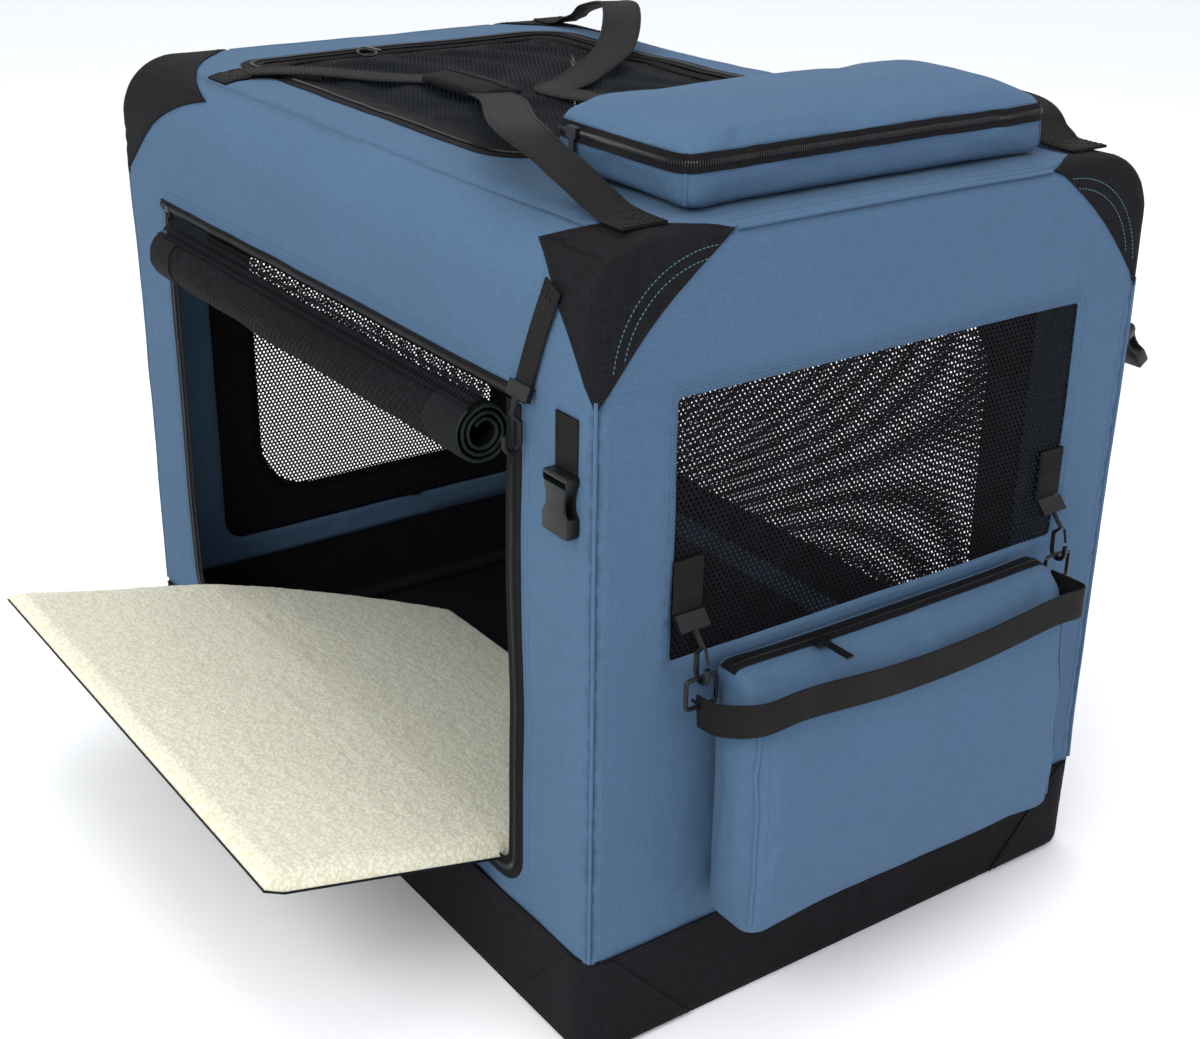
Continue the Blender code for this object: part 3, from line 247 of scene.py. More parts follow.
# Coarse polyester, plain woven and dyed: a matt blue with a faint heather of paler and darker yarn. The
# real threads lie about 0.5 mm apart, too fine to show, so here and below they are drawn coarser
BLUE = woven("blue_woven_polyester", "455E76", "48617B", "4C6681", 0.0011, 0.03, 0.82)
# Nylon pack cloth, plain woven: nearly black, with a soft light along its folds
BLACK = woven("black_woven_nylon", "121214", "17171A", "1E1E22", 0.0012, 0.0, 0.72)
# Warp-knitted polyester: dull dark threads between holes that are part of the shape
NET = plain("black_knitted_mesh", "0E0E11", "141418", 0.75, 0.0009, 0.0002, gloss=0.05)
# The same mesh in layers, as a roll shows it: no light comes through, and its cells are a coarse dark grain
ROLL_CLOTH = woven("black_rolled_mesh_cloth", "0A0A0C", "101013", "1D1D22", 0.0034, 0.0, 0.75)
# Webbing from a narrow loom: its ribs break up the light that falls along a strap, and carry painted
# highlight on their crests and painted shade between them
WEBBING = webbing_material()
# Nylon drawn tight over a stiff board: flat, dark and a little shinier than loose cloth
BOARD = woven("black_nylon_over_board", "0E0F11", "141518", "1B1C20", 0.0014, 0.0, 0.5)
# Brushed and curled polyester pile: warm white, wholly matt, soft at its edges, with painted shade in the
# hollows between its curls
FLEECE = fleece_material()
# Acetal from a lightly textured mould: near black, with a satin gloss on its rounded edges
PLASTIC = plain("black_moulded_acetal", "0B0C0D", "111213", 0.40, 0.0006, 0.00004, gloss=0.25)
# Cast zinc alloy, blackened: a dark grey metal that glints along its edges
DARK_METAL = plain("blackened_zinc_alloy", "141516", "1E1F21", 0.36, 0.0005, 0.00003, 0.6)
# Drawn steel tube, zinc plated: a pale grey metal, slightly clouded
STEEL = plain("zinc_plated_steel_tube", "A9ABAE", "8E9194", 0.36, 0.0008, 0.00003, 1.0)
# Bonded polyester thread, a tight twist with a dull shine: teal stands out on black cloth, blue and black
# stay near the colour of theirs
TEAL_THREAD = plain("teal_bonded_thread", "3E5F69", "496C76", 0.55, 0.0004, 0.00005, gloss=0.2)
BLUE_THREAD = plain("blue_bonded_thread", "4C6985", "52708B", 0.6, 0.0004, 0.00005, gloss=0.15)
BLACK_THREAD = plain("black_bonded_thread", "121315", "1B1C1F", 0.6, 0.0004, 0.00005, gloss=0.15)
# Zipper coil of drawn nylon: smooth, so that its teeth glint
COIL = plain("black_nylon_zipper_coil", "0D0E10", "17191C", 0.28, 0.0005, 0.00003)
# Woven binding tape, grey green: a thin paler ring round the dark end of the roll
BINDING = woven("grey_green_binding_tape", "161C1A", "1F2724", "2B3430", 0.0011, 0.0, 0.7)


# Shapes of the cabin's cloth


def cabin_distance(p):
    """How far points lie outside the cabin: wide curves over its long roof edges, small ones elsewhere."""
    qx = np.abs(p[:, 0]) - (HALF_W - ROOF_ROUND)
    qz = p[:, 2] - (TOP - ROOF_ROUND)
    profile = np.hypot(np.maximum(qx, 0), np.maximum(qz, 0)) + np.minimum(np.maximum(qx, qz), 0)
    profile -= ROOF_ROUND - EDGE_ROUND
    ends = np.abs(p[:, 1]) - (HALF_L - EDGE_ROUND)
    outside = np.hypot(np.maximum(profile, 0), np.maximum(ends, 0))
    return np.minimum(np.maximum(profile, ends), 0) + outside - EDGE_ROUND


def cabin_normal(p):
    """Which way the cabin's form faces at points."""
    steps = 1e-5 * np.eye(3)
    slope = np.stack([cabin_distance(p + step) - cabin_distance(p - step) for step in steps], 1)
    return slope / np.maximum(np.linalg.norm(slope, axis=1, keepdims=True), 1e-12)


def slack(p):
    """How far the cloth stands in or out of its taut place: slow waves, and shorter creases."""
    out = []
    for x, y, z in p:
        slow = noise.noise(Vector((x * 7, y * 7, z * 7)))
        crease = noise.noise(Vector((x * 16 + y * 9, y * 16 - z * 8, z * 11 + 5)))
        fine = noise.noise(Vector((x * 45, y * 45, z * 30 + 9)))
        out.append(0.0016 * slow + 0.0011 * crease + 0.0003 * fine)
    return np.array(out)


def on_cabin(points, lift=0.0):
    """Points brought onto the cabin's cloth and raised from it, and the way it faces there."""
    p = np.array(points, float).reshape(-1, 3)
    for _ in range(4):
        p = p - cabin_normal(p) * cabin_distance(p)[:, None]
    faces = cabin_normal(p)
    return p + faces * (lift + slack(p))[:, None], faces


def vectors(rows):
    return [Vector(row) for row in rows]


def on_cloth(place, flat, lift):
    """A flat line carried to its place on the cabin's cloth, and the way it faces at each point."""
    line, ways = on_cabin(place(*np.array(flat).T), lift)
    return vectors(line), vectors(ways)


# Meshes


def put(name, points, faces, material, uv, smooth=True, sharp=None):
    """A mesh object from points, faces and a flat coordinate in metres for each point."""
    mesh = bpy.data.meshes.new(name)
    mesh.from_pydata([tuple(p) for p in points], [], [tuple(f) for f in faces])
    layer = mesh.uv_layers.new(name="cloth")
    corners = np.empty(len(mesh.loops), int)
    mesh.loops.foreach_get("vertex_index", corners)
    layer.data.foreach_set("uv", np.asarray(uv, np.float32)[corners].ravel())
    mesh.materials.append(material)
    if smooth:
        mesh.shade_smooth()
    if sharp:
        mesh.set_sharp_from_angle(angle=math.radians(sharp))
    return linked(name, mesh)


def applied(obj, kind=None, **settings):
    """The object with its modifiers, and one more of the kind given, made part of its mesh."""
    if kind:
        modifier = obj.modifiers.new(kind.lower(), kind)
        for name, value in settings.items():
            setattr(modifier, name, value)
    mesh = shown_mesh(obj)
    obj.modifiers.clear()
    obj.data = mesh
    return obj


def shown_mesh(obj):
    """The object's mesh as its modifiers leave it."""
    graph = bpy.context.evaluated_depsgraph_get()
    return bpy.data.meshes.new_from_object(obj.evaluated_get(graph))


def carry(obj, body, nodes=(), keep=None):
    """The piece rides on a body, stands for its solids by hiding them, and gets its own copy of its mesh when
    given a keep.
    """
    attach(obj, body)
    if nodes:
        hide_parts(*nodes)
    if keep:
        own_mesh(obj)
    return obj


def cut_cloth(obj, rests_on, faces=2):
    """Works out the cut that the piece's flat coordinates give: width, length and area, which are not used
    further.
    """
    mesh = obj.data
    mesh.calc_loop_triangles()
    uv = np.empty(len(mesh.loops) * 2, np.float32)
    mesh.uv_layers["cloth"].data.foreach_get("uv", uv)
    corners = np.empty(len(mesh.loop_triangles) * 3, int)
    mesh.loop_triangles.foreach_get("loops", corners)
    uv = uv.reshape(-1, 2)
    a, b, c = (uv[corners[k::3]] for k in range(3))
    crossed = (b - a)[:, 0] * (c - a)[:, 1] - (b - a)[:, 1] * (c - a)[:, 0]
    area = float(np.abs(crossed).sum() / 2 / faces)
    width, length = (float(reach) for reach in np.ptp(uv, axis=0))
    shown = sum(polygon.area for polygon in mesh.polygons) / faces
    area = min(width * length, max(min(area, shown), 0.3 * width * length))
    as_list(rests_on)


def arc(centre, radius, start, end, steps=8):
    """Points along a circle, between two angles in degrees."""
    turns = (math.radians(start + (end - start) * i / steps) for i in range(steps + 1))
    return [(centre[0] + radius * math.cos(t), centre[1] + radius * math.sin(t)) for t in turns]


def rounded(low, high, radii):
    """A rectangle with rounded corners, from one radius or four."""
    (u0, v0), (u1, v1) = low, high
    a, b, c, d = radii if isinstance(radii, tuple) else [radii] * 4
    points = arc((u0 + a, v0 + a), a, 180, 270) + arc((u1 - b, v0 + b), b, 270, 360)
    return points + arc((u1 - c, v1 - c), c, 0, 90) + arc((u0 + d, v1 - d), d, 90, 180)


def spaced(points, step, closed=True):
    """The same line with its long stretches divided into steps."""
    ends = list(points) + ([points[0]] if closed else [])
    out = []
    for a, b in zip(ends, ends[1:]):
        a, b = np.array(a, float), np.array(b, float)
        count = max(1, round(float(np.linalg.norm(b - a)) / step))
        out += [a + (b - a) * i / count for i in range(count)]
    if not closed:
        out.append(np.array(ends[-1], float))
    kept = [out[0]]
    for p in out[1:]:
        if np.linalg.norm(p - kept[-1]) > 1e-5:
            kept.append(p)
    return np.array(kept)


def within(points, loops):
    """Which points lie inside the loops, by counting crossings."""
    inside = np.zeros(len(points), bool)
    for loop in loops:
        for (ax, ay), (bx, by) in zip(loop, np.roll(loop, -1, axis=0)):
            if ay != by:
                crosses = (ay > points[:, 1]) != (by > points[:, 1])
                inside ^= crosses & (points[:, 0] < ax + (points[:, 1] - ay) * (bx - ax) / (by - ay))
    return inside


def staggered(low, high, step, offset):
    """Points in staggered rows over a rectangle."""
    rows = enumerate(np.arange(low[1] + offset, high[1], step * 0.866))
    places = np.arange(low[0] + offset, high[0], step)
    return np.array([(u + step * 0.5 * (j % 2), v) for j, v in rows for u in places])


def filled(outline, holes, step):
    """Points and triangles that fill an outline around its holes, about a step apart."""
    loops = [spaced(loop, step) for loop in (outline, *holes)]
    grid = staggered(loops[0].min(0), loops[0].max(0), step, step / 2)
    grid = grid[within(grid, loops)]
    rims = np.concatenate(loops)
    near = np.array([np.min(np.sum((rims - g) ** 2, axis=1)) for g in grid])
    points = np.concatenate([rims, grid[near > (0.55 * step) ** 2]])
    edges, start = [], 0
    for loop in loops:
        edges += [(start + i, start + (i + 1) % len(loop)) for i in range(len(loop))]
        start += len(loop)
    made = geometry.delaunay_2d_cdt(vectors(points), edges, [], 0, 1e-7)
    flat = np.array([tuple(p) for p in made[0]])
    faces = np.array([f for f in made[2] if len(f) == 3])
    return flat, faces[within(flat[faces].mean(1), loops)]


def cloth(name, points, normals, faces, uv, thickness, material, smooth=True, sharp=None):
    """A sheet given a back face and closed rims."""
    faces = np.asarray(faces)
    a, b, c = (points[faces[:, i]] for i in range(3))
    turned = np.einsum("ij,ij->i", np.cross(b - a, c - a), normals[faces[:, 0]]) < 0
    faces = np.where(turned[:, None], faces[:, ::-1], faces)
    known = {tuple(e) for k in range(3) for e in faces[:, [k, (k + 1) % 3]].tolist()}
    rim = [(i, j) for i, j in known if (j, i) not in known]
    count = len(points)
    every = faces.tolist() + (faces[:, ::-1] + count).tolist()
    every += [(j, i, i + count, j + count) for i, j in rim]
    both = np.concatenate([points, points - normals * thickness])
    return put(name, both, every, material, np.concatenate([uv, uv]), smooth, sharp)


def sheet(name, outline, holes, place, material, step=0.009, lift=0.0, thickness=0.0012):
    """A cloth sheet: its outline filled flat, laid on the cabin's form and given thickness."""
    flat, faces = filled(outline, holes, step)
    return cloth(name, *on_cabin(place(*flat.T), lift), faces, flat, thickness, material)


def curve_points(points, steps):
    """A smooth curve through points."""
    p = vectors(points)
    ends = [p[0] * 2 - p[1], *p, p[-1] * 2 - p[-2]]
    out = []
    for a, b, c, d in zip(ends, ends[1:], ends[2:], ends[3:]):
        for i in range(steps):
            t = i / steps
            bend = (a * 2 - b * 5 + c * 4 - d) * t * t + (b * 3 - a - c * 3 + d) * t**3
            out.append((b * 2 + (c - a) * t + bend) / 2)
    return [*out, p[-1]]


def strap_section(width, thickness):
    """Webbing's section, with soft selvedges."""
    half, deep = width / 2, thickness / 2
    edge = half - deep
    soft = edge + deep * 0.6
    upper = [(half, 0), (soft, deep * 0.8), (edge, deep), (0, deep), (-edge, deep), (-soft, deep * 0.8)]
    return upper + [(-u, -v) for u, v in upper]


def turned_out(obj):
    """Points every face outwards."""
    shape = bmesh.new()
    shape.from_mesh(obj.data)
    bmesh.ops.recalc_face_normals(shape, faces=shape.faces)
    shape.to_mesh(obj.data)
    shape.free()
    return obj


def swept(name, path, section, facing, material, closed=False):
    """A section carried along a path, its second coordinate pointing the way it faces there."""
    count, width = len(path), len(section)
    points, uv, faces = [], [], []
    walked = 0.0
    for i, point in enumerate(path):
        before = path[i - 1] if closed or i else point
        after = path[(i + 1) % count] if closed or i + 1 < count else point
        along = (after - before).normalized()
        side = along.cross(facing[i] if isinstance(facing, list) else facing).normalized()
        over = side.cross(along)
        if i:
            walked += (point - path[i - 1]).length
        points += [point + side * s + over * n for s, n in section]
        uv += [(s, walked) for s, _ in section]
    for i in range(count if closed else count - 1):
        start, end = i * width, (i + 1) % count * width
        for k in range(width):
            m = (k + 1) % width
            faces.append((start + k, start + m, end + m, end + k))
    if not closed:
        faces += [tuple(range(width - 1, -1, -1)), tuple(range((count - 1) * width, count * width))]
    obj = turned_out(put(name, points, faces, material, np.array(uv)))
    obj.data.set_sharp_from_angle(angle=math.radians(50))
    return obj


def strip(name, path, size, facing, material, body, nodes=(), keep=None, closed=False):
    """Webbing, tape or a welt along a path, riding on a body. Its size is its width and thickness."""
    made = swept(name, path, strap_section(*size), facing, material, closed)
    return carry(made, body, nodes, keep)


def joined(name, objects):
    """Several meshes as one piece."""
    shape, mesh, materials = bmesh.new(), bpy.data.meshes.new(name), []
    for obj in objects:
        start = len(shape.faces)
        shape.from_mesh(obj.data)
        shape.faces.ensure_lookup_table()
        materials += [m for m in obj.data.materials if m not in materials]
        slots = [materials.index(m) for m in obj.data.materials]
        for face in shape.faces[start:]:
            face.material_index = slots[face.material_index]
    shape.to_mesh(mesh)
    shape.free()
    for material in materials:
        mesh.materials.append(material)
    for obj in objects:
        bpy.data.objects.remove(obj, do_unlink=True)
    return linked(name, mesh)


# Stitches and zipper coils, which repeat along paths


def repeater(name):
    """A node tree that sets small rounded beads along edges, by their spacing, size and material."""
    tree = bpy.data.node_groups.new(name, "GeometryNodeTree")
    face = tree.interface
    face.new_socket("Geometry", in_out="INPUT", socket_type="NodeSocketGeometry")
    for label in ("Spacing", "Along", "Across", "Deep"):
        face.new_socket(label, in_out="INPUT", socket_type="NodeSocketFloat")
    face.new_socket("Material", in_out="INPUT", socket_type="NodeSocketMaterial")
    face.new_socket("Geometry", in_out="OUTPUT", socket_type="NodeSocketGeometry")
    given = add(tree, "NodeGroupInput").node.outputs
    lines = add(tree, "GeometryNodeMeshToCurve", links={"Mesh": given["Geometry"]})
    links = {"Curve": lines, "Length": given["Spacing"]}
    even = add(tree, "GeometryNodeResampleCurve", {"mode": "LENGTH"}, links)
    settings = {"data_type": "FLOAT_VECTOR", "Name": "facing"}
    facing = add(tree, "GeometryNodeInputNamedAttribute", settings)
    tangent = {"Vector": add(tree, "GeometryNodeInputTangent")}
    turn = add(tree, "FunctionNodeAlignRotationToVector", {"axis": "X"}, tangent)
    links = {"Rotation": turn, "Vector": facing}
    turn = add(tree, "FunctionNodeAlignRotationToVector", {"axis": "Z", "pivot_axis": "X"}, links)
    links = {"X": given["Along"], "Y": given["Across"], "Z": given["Deep"]}
    size = add(tree, "ShaderNodeCombineXYZ", links=links)
    bead = add(tree, "GeometryNodeMeshIcoSphere", {"Radius": 0.5, "Subdivisions": 1})
    links = {"Points": even, "Instance": bead, "Rotation": turn, "Scale": size}
    placed = add(tree, "GeometryNodeInstanceOnPoints", links=links)
    links = {"Geometry": add(tree, "GeometryNodeRealizeInstances", links={"Geometry": placed})}
    dressed = add(tree, "GeometryNodeSetMaterial", links={**links, "Material": given["Material"]})
    add(tree, "NodeGroupOutput", links={"Geometry": dressed})
    return tree


REPEAT = repeater("repeat_along_seams")
SEAMS = {}

# Each kind's spacing, length, width, thickness and material
KINDS = {
    "blue_stitches": (0.0036, 0.0026, 0.0007, 0.0006, BLUE_THREAD),
    "teal_stitches": (0.0033, 0.0026, 0.0009, 0.0008, TEAL_THREAD),
    "black_stitches": (0.0042, 0.0030, 0.0009, 0.0007, BLACK_THREAD),
    "zipper_coil": (0.0019, 0.0013, 0.0052, 0.0018, COIL),
}


def seam(kind, path, facing, body, keep=None, closed=False):
    """Notes a line of stitches or zipper coil. Lines of one kind on one body become one piece at the end."""
    SEAMS.setdefault((kind, body, keep), []).append((vectors(path), vectors(facing), closed))


def make_seams():
    """Turns the noted lines into stitches and coil, one piece for each kind and body."""
    for (kind, body, keep), lines in SEAMS.items():
        points, edges, faces = [], [], []
        for path, facing, closed in lines:
            start = len(points)
            points += path
            faces += facing
            edges += [(start + i, start + i + 1) for i in range(len(path) - 1)]
            if closed:
                edges.append((len(points) - 1, start))
        mesh = bpy.data.meshes.new(kind)
        mesh.from_pydata(points, edges, [])
        layer = mesh.attributes.new("facing", "FLOAT_VECTOR", "POINT")
        layer.data.foreach_set("vector", np.array(faces, np.float32).ravel())
        obj = linked(kind + "_lines", mesh)
        modifier = obj.modifiers.new("repeat", "NODES")
        modifier.node_group = REPEAT
        sockets = {s.name: s.identifier for s in REPEAT.interface.items_tree if s.in_out == "INPUT"}
        for label, value in zip(("Spacing", "Along", "Across", "Deep", "Material"), KINDS[kind]):
            modifier[sockets[label]] = value
        tag = f"_{keep}" if keep else ""
        piece = linked(f"{kind}_{body}{tag}", shown_mesh(obj))
        bpy.data.objects.remove(obj, do_unlink=True)
        carry(piece, body, keep=keep)


def cabin_line(points, lift, step=LINE_STEP, closed=False):
    """A line laid on the cabin's cloth, and the way it faces at each point."""
    line, faces = on_cabin(spaced(points, step, closed), lift)
    return vectors(line), vectors(faces)


def row(points, body="base", keep=KEEP, lift=ROW_LIFT, closed=False, kind="blue_stitches", step=LINE_STEP):
    """A row of stitches on the cabin's cloth."""
    seam(kind, *cabin_line(points, lift, step, closed), body, keep, closed)


def zipper(name, line, ways, width, rise, body, nodes=(), keep=None, closed=False):
    """A zipper's tape, and the coil raised on it."""
    strip(name, line, (width, 0.0008), ways, BLACK, body, nodes, keep, closed)
    seam("zipper_coil", [p + f * rise for p, f in zip(line, ways)], ways, body, keep, closed)


# Places on the cabin for flat coordinates


# The roof's long seams lie on its rounded edges, so many degrees up the curve from the wall
SEAM_DEGREES = 68
ROOF_EDGE = HALF_W - ROOF_ROUND + ROOF_ROUND * math.radians(90 - SEAM_DEGREES)
SIDE_EDGE = TOP - ROOF_ROUND + ROOF_ROUND * math.radians(SEAM_DEGREES)


def on_side(side):
    """A long side, from the flat width along the cabin and the way up it, over the roof's rounded edge."""
    straight = TOP - ROOF_ROUND

    def place(u, v):
        turn = np.maximum(v - straight, 0) / ROOF_ROUND
        x = HALF_W - ROOF_ROUND + ROOF_ROUND * np.cos(turn)
        return np.stack([x * side, u, np.minimum(v, straight) + ROOF_ROUND * np.sin(turn)], 1)

    return place


def on_end(side):
    """A short side, from the flat width across it and the way up it."""
    return lambda u, v: np.stack([u, np.full_like(u, HALF_L * side), v], 1)


def on_roof(u, v):
    """The roof, from the flat width across it and the length along it, down over its rounded edges."""
    flat = HALF_W - ROOF_ROUND
    turn = np.maximum(np.abs(u) - flat, 0) / ROOF_ROUND
    x = np.minimum(np.abs(u), flat) + ROOF_ROUND * np.sin(turn)
    return np.stack([x * np.sign(u), v, TOP - ROOF_ROUND + ROOF_ROUND * np.cos(turn)], 1)


def opening(low, high, grow, radii):
    """A rounded opening, grown all round."""
    (u0, v0), (u1, v1) = low, high
    return rounded((u0 - grow, v0 - grow), (u1 + grow, v1 + grow), tuple(r + grow for r in radii))


def doorway(grow=0.0):
    return opening((-DOOR_HALF, DOOR_SILL), (DOOR_HALF, DOOR_TOP), grow, (0.020, 0.020, 0.012, 0.012))


def rear_doorway(grow=0.0):
    return opening((-REAR_HALF, DOOR_SILL), (REAR_HALF, DOOR_TOP), grow, (0.020, 0.020, 0.085, 0.085))


def window_frame(grow=0.0):
    return opening((-WINDOW_HALF, WINDOW_FOOT), (WINDOW_HALF, WINDOW_TOP), grow, [0.004] * 4)


def roof_doorway(grow=0.0):
    return opening(*ROOF_DOOR, grow, [0.030] * 4)


def inner_frame(points, inset, radius):
    """A rounded rectangle inside the reach of an outline."""
    p = np.array(points)
    return rounded(p.min(0) + inset, p.max(0) - inset, radius)


def cloth_walls():
    """The blue cloth: four walls, each with its opening, and the roof, which laps the long ones."""
    high, wide = TOP - ROOF_ROUND, HALF_W - ROOF_ROUND
    end = [(-HALF_W, WALL_FOOT), (HALF_W, WALL_FOOT)]
    end += arc((wide, high), ROOF_ROUND, 0, 90) + arc((-wide, high), ROOF_ROUND, 90, 180)
    side = [(-HALF_L, WALL_FOOT), (HALF_L, WALL_FOOT), (HALF_L, SIDE_EDGE), (-HALF_L, SIDE_EDGE)]
    roof = [(-ROOF_EDGE, -HALF_L), (ROOF_EDGE, -HALF_L), (ROOF_EDGE, HALF_L), (-ROOF_EDGE, HALF_L)]
    hoops, rods = ["front_upper_hoop", "rear_upper_hoop"], ["roof_rod_left", "roof_rod_right"]
    for name, outline, hole, place, over in (
        ("wall_left", side, doorway, on_side(-1), hoops),
        ("wall_right", side, doorway, on_side(1), hoops),
        ("wall_front", end, window_frame, on_end(-1), hoops[:1]),
        ("wall_rear", end, rear_doorway, on_end(1), hoops[1:]),
        ("roof", roof, roof_doorway, on_roof, rods),
    ):
        made = sheet("cloth_" + name, outline, [hole()], place, BLUE)
        if name == "roof":
            carry(made, "roof", ["roof_panel"])
        else:
            carry(made, "base", [name], KEEP)
        cut_cloth(made, over)


# The mesh's cells: how far apart, the half width of a hole, and how much taller a hole is
NET_PITCH, NET_HOLE, NET_RISE = 0.0042, 0.00108, 1.15


def netting(name, outline, place, lift=None, folds=0.0, turned=False):
    """Knitted mesh with a hole in each cell. Turned is cut across the cloth, folds is its rucks' depth."""
    loop = spaced(outline, 0.01)
    loop = loop[:, ::-1] if turned else loop
    low, high = loop.min(0), loop.max(0)
    spots = staggered(low, high, NET_PITCH, 0.0)
    spots = spots[within(spots, [loop])]
    turns = np.radians(30 + 60 * np.arange(6))
    circle = np.stack([np.cos(turns), np.sin(turns)], 1)
    outer = spots[:, None, :] + circle[None] * NET_PITCH / math.sqrt(3)
    inner = spots[:, None, :] + circle[None] * NET_HOLE * np.array([1.0, NET_RISE])
    flat = np.concatenate([outer.reshape(-1, 2), inner.reshape(-1, 2)])
    cells = np.round(flat * 2e4).astype(int)
    _, first, same = np.unique(cells, axis=0, return_index=True, return_inverse=True)
    count = len(spots) * 6
    base, k = np.arange(len(spots))[:, None] * 6, np.arange(6)[None]
    a, b = base + k, base + (k + 1) % 6
    faces = same.reshape(-1)[np.stack([a, b, b + count, a + count], 2).reshape(-1, 4)]
    flat = flat[first]
    rim = np.minimum(flat - low, high - flat).min(1)
    if turned:
        flat, faces = flat[:, ::-1], faces[:, ::-1]
    points = place(*flat.T)
    if lift is not None:
        points, ways = on_cabin(points, lift)
        u, v = flat.T
        ruck = 0.5 + 0.5 * np.sin(u * 85 + 2.4 * np.sin(v * 27)) * np.sin(v * 19 + u * 31)
        points = points + ways * (ruck * folds * np.clip(rim / 0.03, 0, 1))[:, None]
    return put(name, points, faces, NET, flat)


def zipped_door(name, outline, place, holder, border, radius, keep, folds=0.0, turned=False):
    """A mesh door with its cloth border and its rows of stitches."""
    lift, edge = -0.0004, outline(0)
    inner = inner_frame(edge, border, radius)
    rim = sheet(name + "_edge", outline(-0.0006), [inner], place, BLACK, lift=lift)
    carry(rim, name, [name + "_border"], keep)
    cut_cloth(rim, [holder])
    net = inner_frame(edge, border - 0.007, radius)
    net = netting(name + "_net", net, place, lift - 0.0018, folds, turned)
    carry(net, name, [name + "_mesh"], keep)
    cut_cloth(net, [rim], 1)
    for inset in (0.004, 0.010):
        line = place(*np.array(inner_frame(edge, border - inset, radius)).T)
        row(line, name, keep, lift + ROW_LIFT, True, "black_stitches")


def zipper_round(name, outline, place, body, keep):
    """A zipper all along an opening."""
    line, ways = on_cloth(place, spaced(outline(0.001), LINE_STEP), 0.0006)
    zipper(name, line, ways, 0.020, 0.0010, body, (), keep, True)


def perimeter(half_x, half_y, radius):
    """A rounded rectangle's points, the way out at each, and the distance walked, from the front's middle."""
    loop = spaced(rounded((-half_x, -half_y), (half_x, half_y), radius), 0.007)
    start = int(np.argmin(np.abs(loop[:, 0]) + (loop[:, 1] > 0) * 9))
    loop = np.roll(loop, -start, axis=0)
    ahead = np.roll(loop, -1, axis=0) - np.roll(loop, 1, axis=0)
    out = np.stack([ahead[:, 1], -ahead[:, 0]], 1)
    out /= np.linalg.norm(out, axis=1, keepdims=True)
    loop, out = np.vstack([loop, loop[:1]]), np.vstack([out, out[:1]])
    return loop, out, np.concatenate([[0], np.cumsum(np.linalg.norm(np.diff(loop, axis=0), axis=1))])


BAND_FACE = BAND_PROUD - 0.0006
BAND_LOOP, BAND_OUT, BAND_WALKED = perimeter(HALF_W + BAND_FACE, HALF_L + BAND_FACE, 0.022)
BAND_TOTAL = BAND_WALKED[-1]


def on_band(u, v, lift=0.0):
    """A place on the black base band, from the distance walked round it and the height."""
    u, v = np.asarray(u, float) % BAND_TOTAL, np.asarray(v, float)
    x, y = (np.interp(u, BAND_WALKED, BAND_LOOP[:, k]) for k in range(2))
    ox, oy = (np.interp(u, BAND_WALKED, BAND_OUT[:, k]) for k in range(2))
    wave = np.array([noise.noise(Vector((a * 14, b * 14, c * 10))) for a, b, c in zip(x, y, v)]) * 0.0009
    tuck = -0.004 * np.clip((0.008 - v) / 0.008, 0, 1) ** 2
    push = lift + wave - 0.0006 + tuck
    return np.stack([x + ox * push, y + oy * push, v], 1), np.stack([ox, oy, np.zeros_like(ox)], 1)


def base_band():
    """The black tub round the cabin's foot, its underside, and the row of stitches under its rim."""
    n = len(BAND_LOOP) - 1
    heights = np.array([0.0006, 0.003, 0.008, 0.02, 0.034, 0.048, 0.062, 0.074, 0.082, BAND_TOP])
    m = len(heights)
    u, v = np.repeat(BAND_WALKED[:-1], m), np.tile(heights, n)
    faces = []
    for i in range(n):
        for k in range(m - 1):
            a, b = i * m + k, (i + 1) % n * m + k
            faces += [(a, b, b + 1), (a, b + 1, a + 1)]
    flat = np.stack([u, v], 1)
    wall = cloth("base_band_cloth", *on_band(u, v), faces, flat, 0.0016, BLACK, sharp=50)
    flat, tri = filled([tuple(p * 0.992) for p in BAND_LOOP[:-1]], [], 0.03)
    p, ways = np.column_stack([flat, np.full(len(flat), 0.0026)]), np.tile(UP, (len(flat), 1))
    under = cloth("base_underside", p, ways, tri, flat, 0.0016, BLACK, smooth=False)
    carry(joined("base_tray_cloth", [wall, under]), "base", ["base_tray"])
    u = np.arange(0, BAND_TOTAL, LINE_STEP)
    seam("black_stitches", *on_band(u, np.full_like(u, WALL_FOOT), 0.0004), "base", closed=True)


def foot_patches():
    """The slanting patches over the tub's corners."""
    slant = curve_points([(-0.018, 0.0835, 0), (-0.034, 0.066, 0), (-0.062, 0.036, 0), (-0.092, 0.004, 0)], 4)
    slant = np.array([p[:2] for p in slant])
    reach = BAND_PROUD - 0.007
    for end, y_side in ENDS:
        for side, x_side in SIDES:
            corner = np.array([(HALF_W + reach) * x_side, (HALF_L + reach) * y_side])
            middle = BAND_WALKED[int(np.argmin(np.linalg.norm(BAND_LOOP[:-1] - corner, axis=1)))]
            edges = (slant, 1), (slant[::-1] * (-1, 1), -1)
            flat, tri = filled([tuple(p) for edge, _ in edges for p in edge], [], 0.008)
            points, ways = on_band(flat[:, 0] + middle, flat[:, 1], 0.0012)
            name = f"foot_patch_cloth_{end}_{side}"
            made = cloth(name, points, ways, tri, flat, 0.0009, BLACK, sharp=50)
            carry(made, "base", [f"foot_patch_{end}_{side}"])
            cut_cloth(made, ["base_tray_cloth"])
            for edge, way in edges:
                for inset in (0.003, 0.009):
                    line, ways = on_band(edge[:, 0] + inset * way + middle, edge[:, 1], 0.0014)
                    seam("black_stitches", line, ways, "base")


# The corner patches' reach in from the edge and down, and the rows of stitches over the hoop's bend
PATCH_X, PATCH_Z, PATCH_LIFT, HOOP_RADIUS = 0.108, 0.106, 0.0014, 0.078
HOOP_CENTRE = (HALF_W - 0.090, TOP - 0.088)


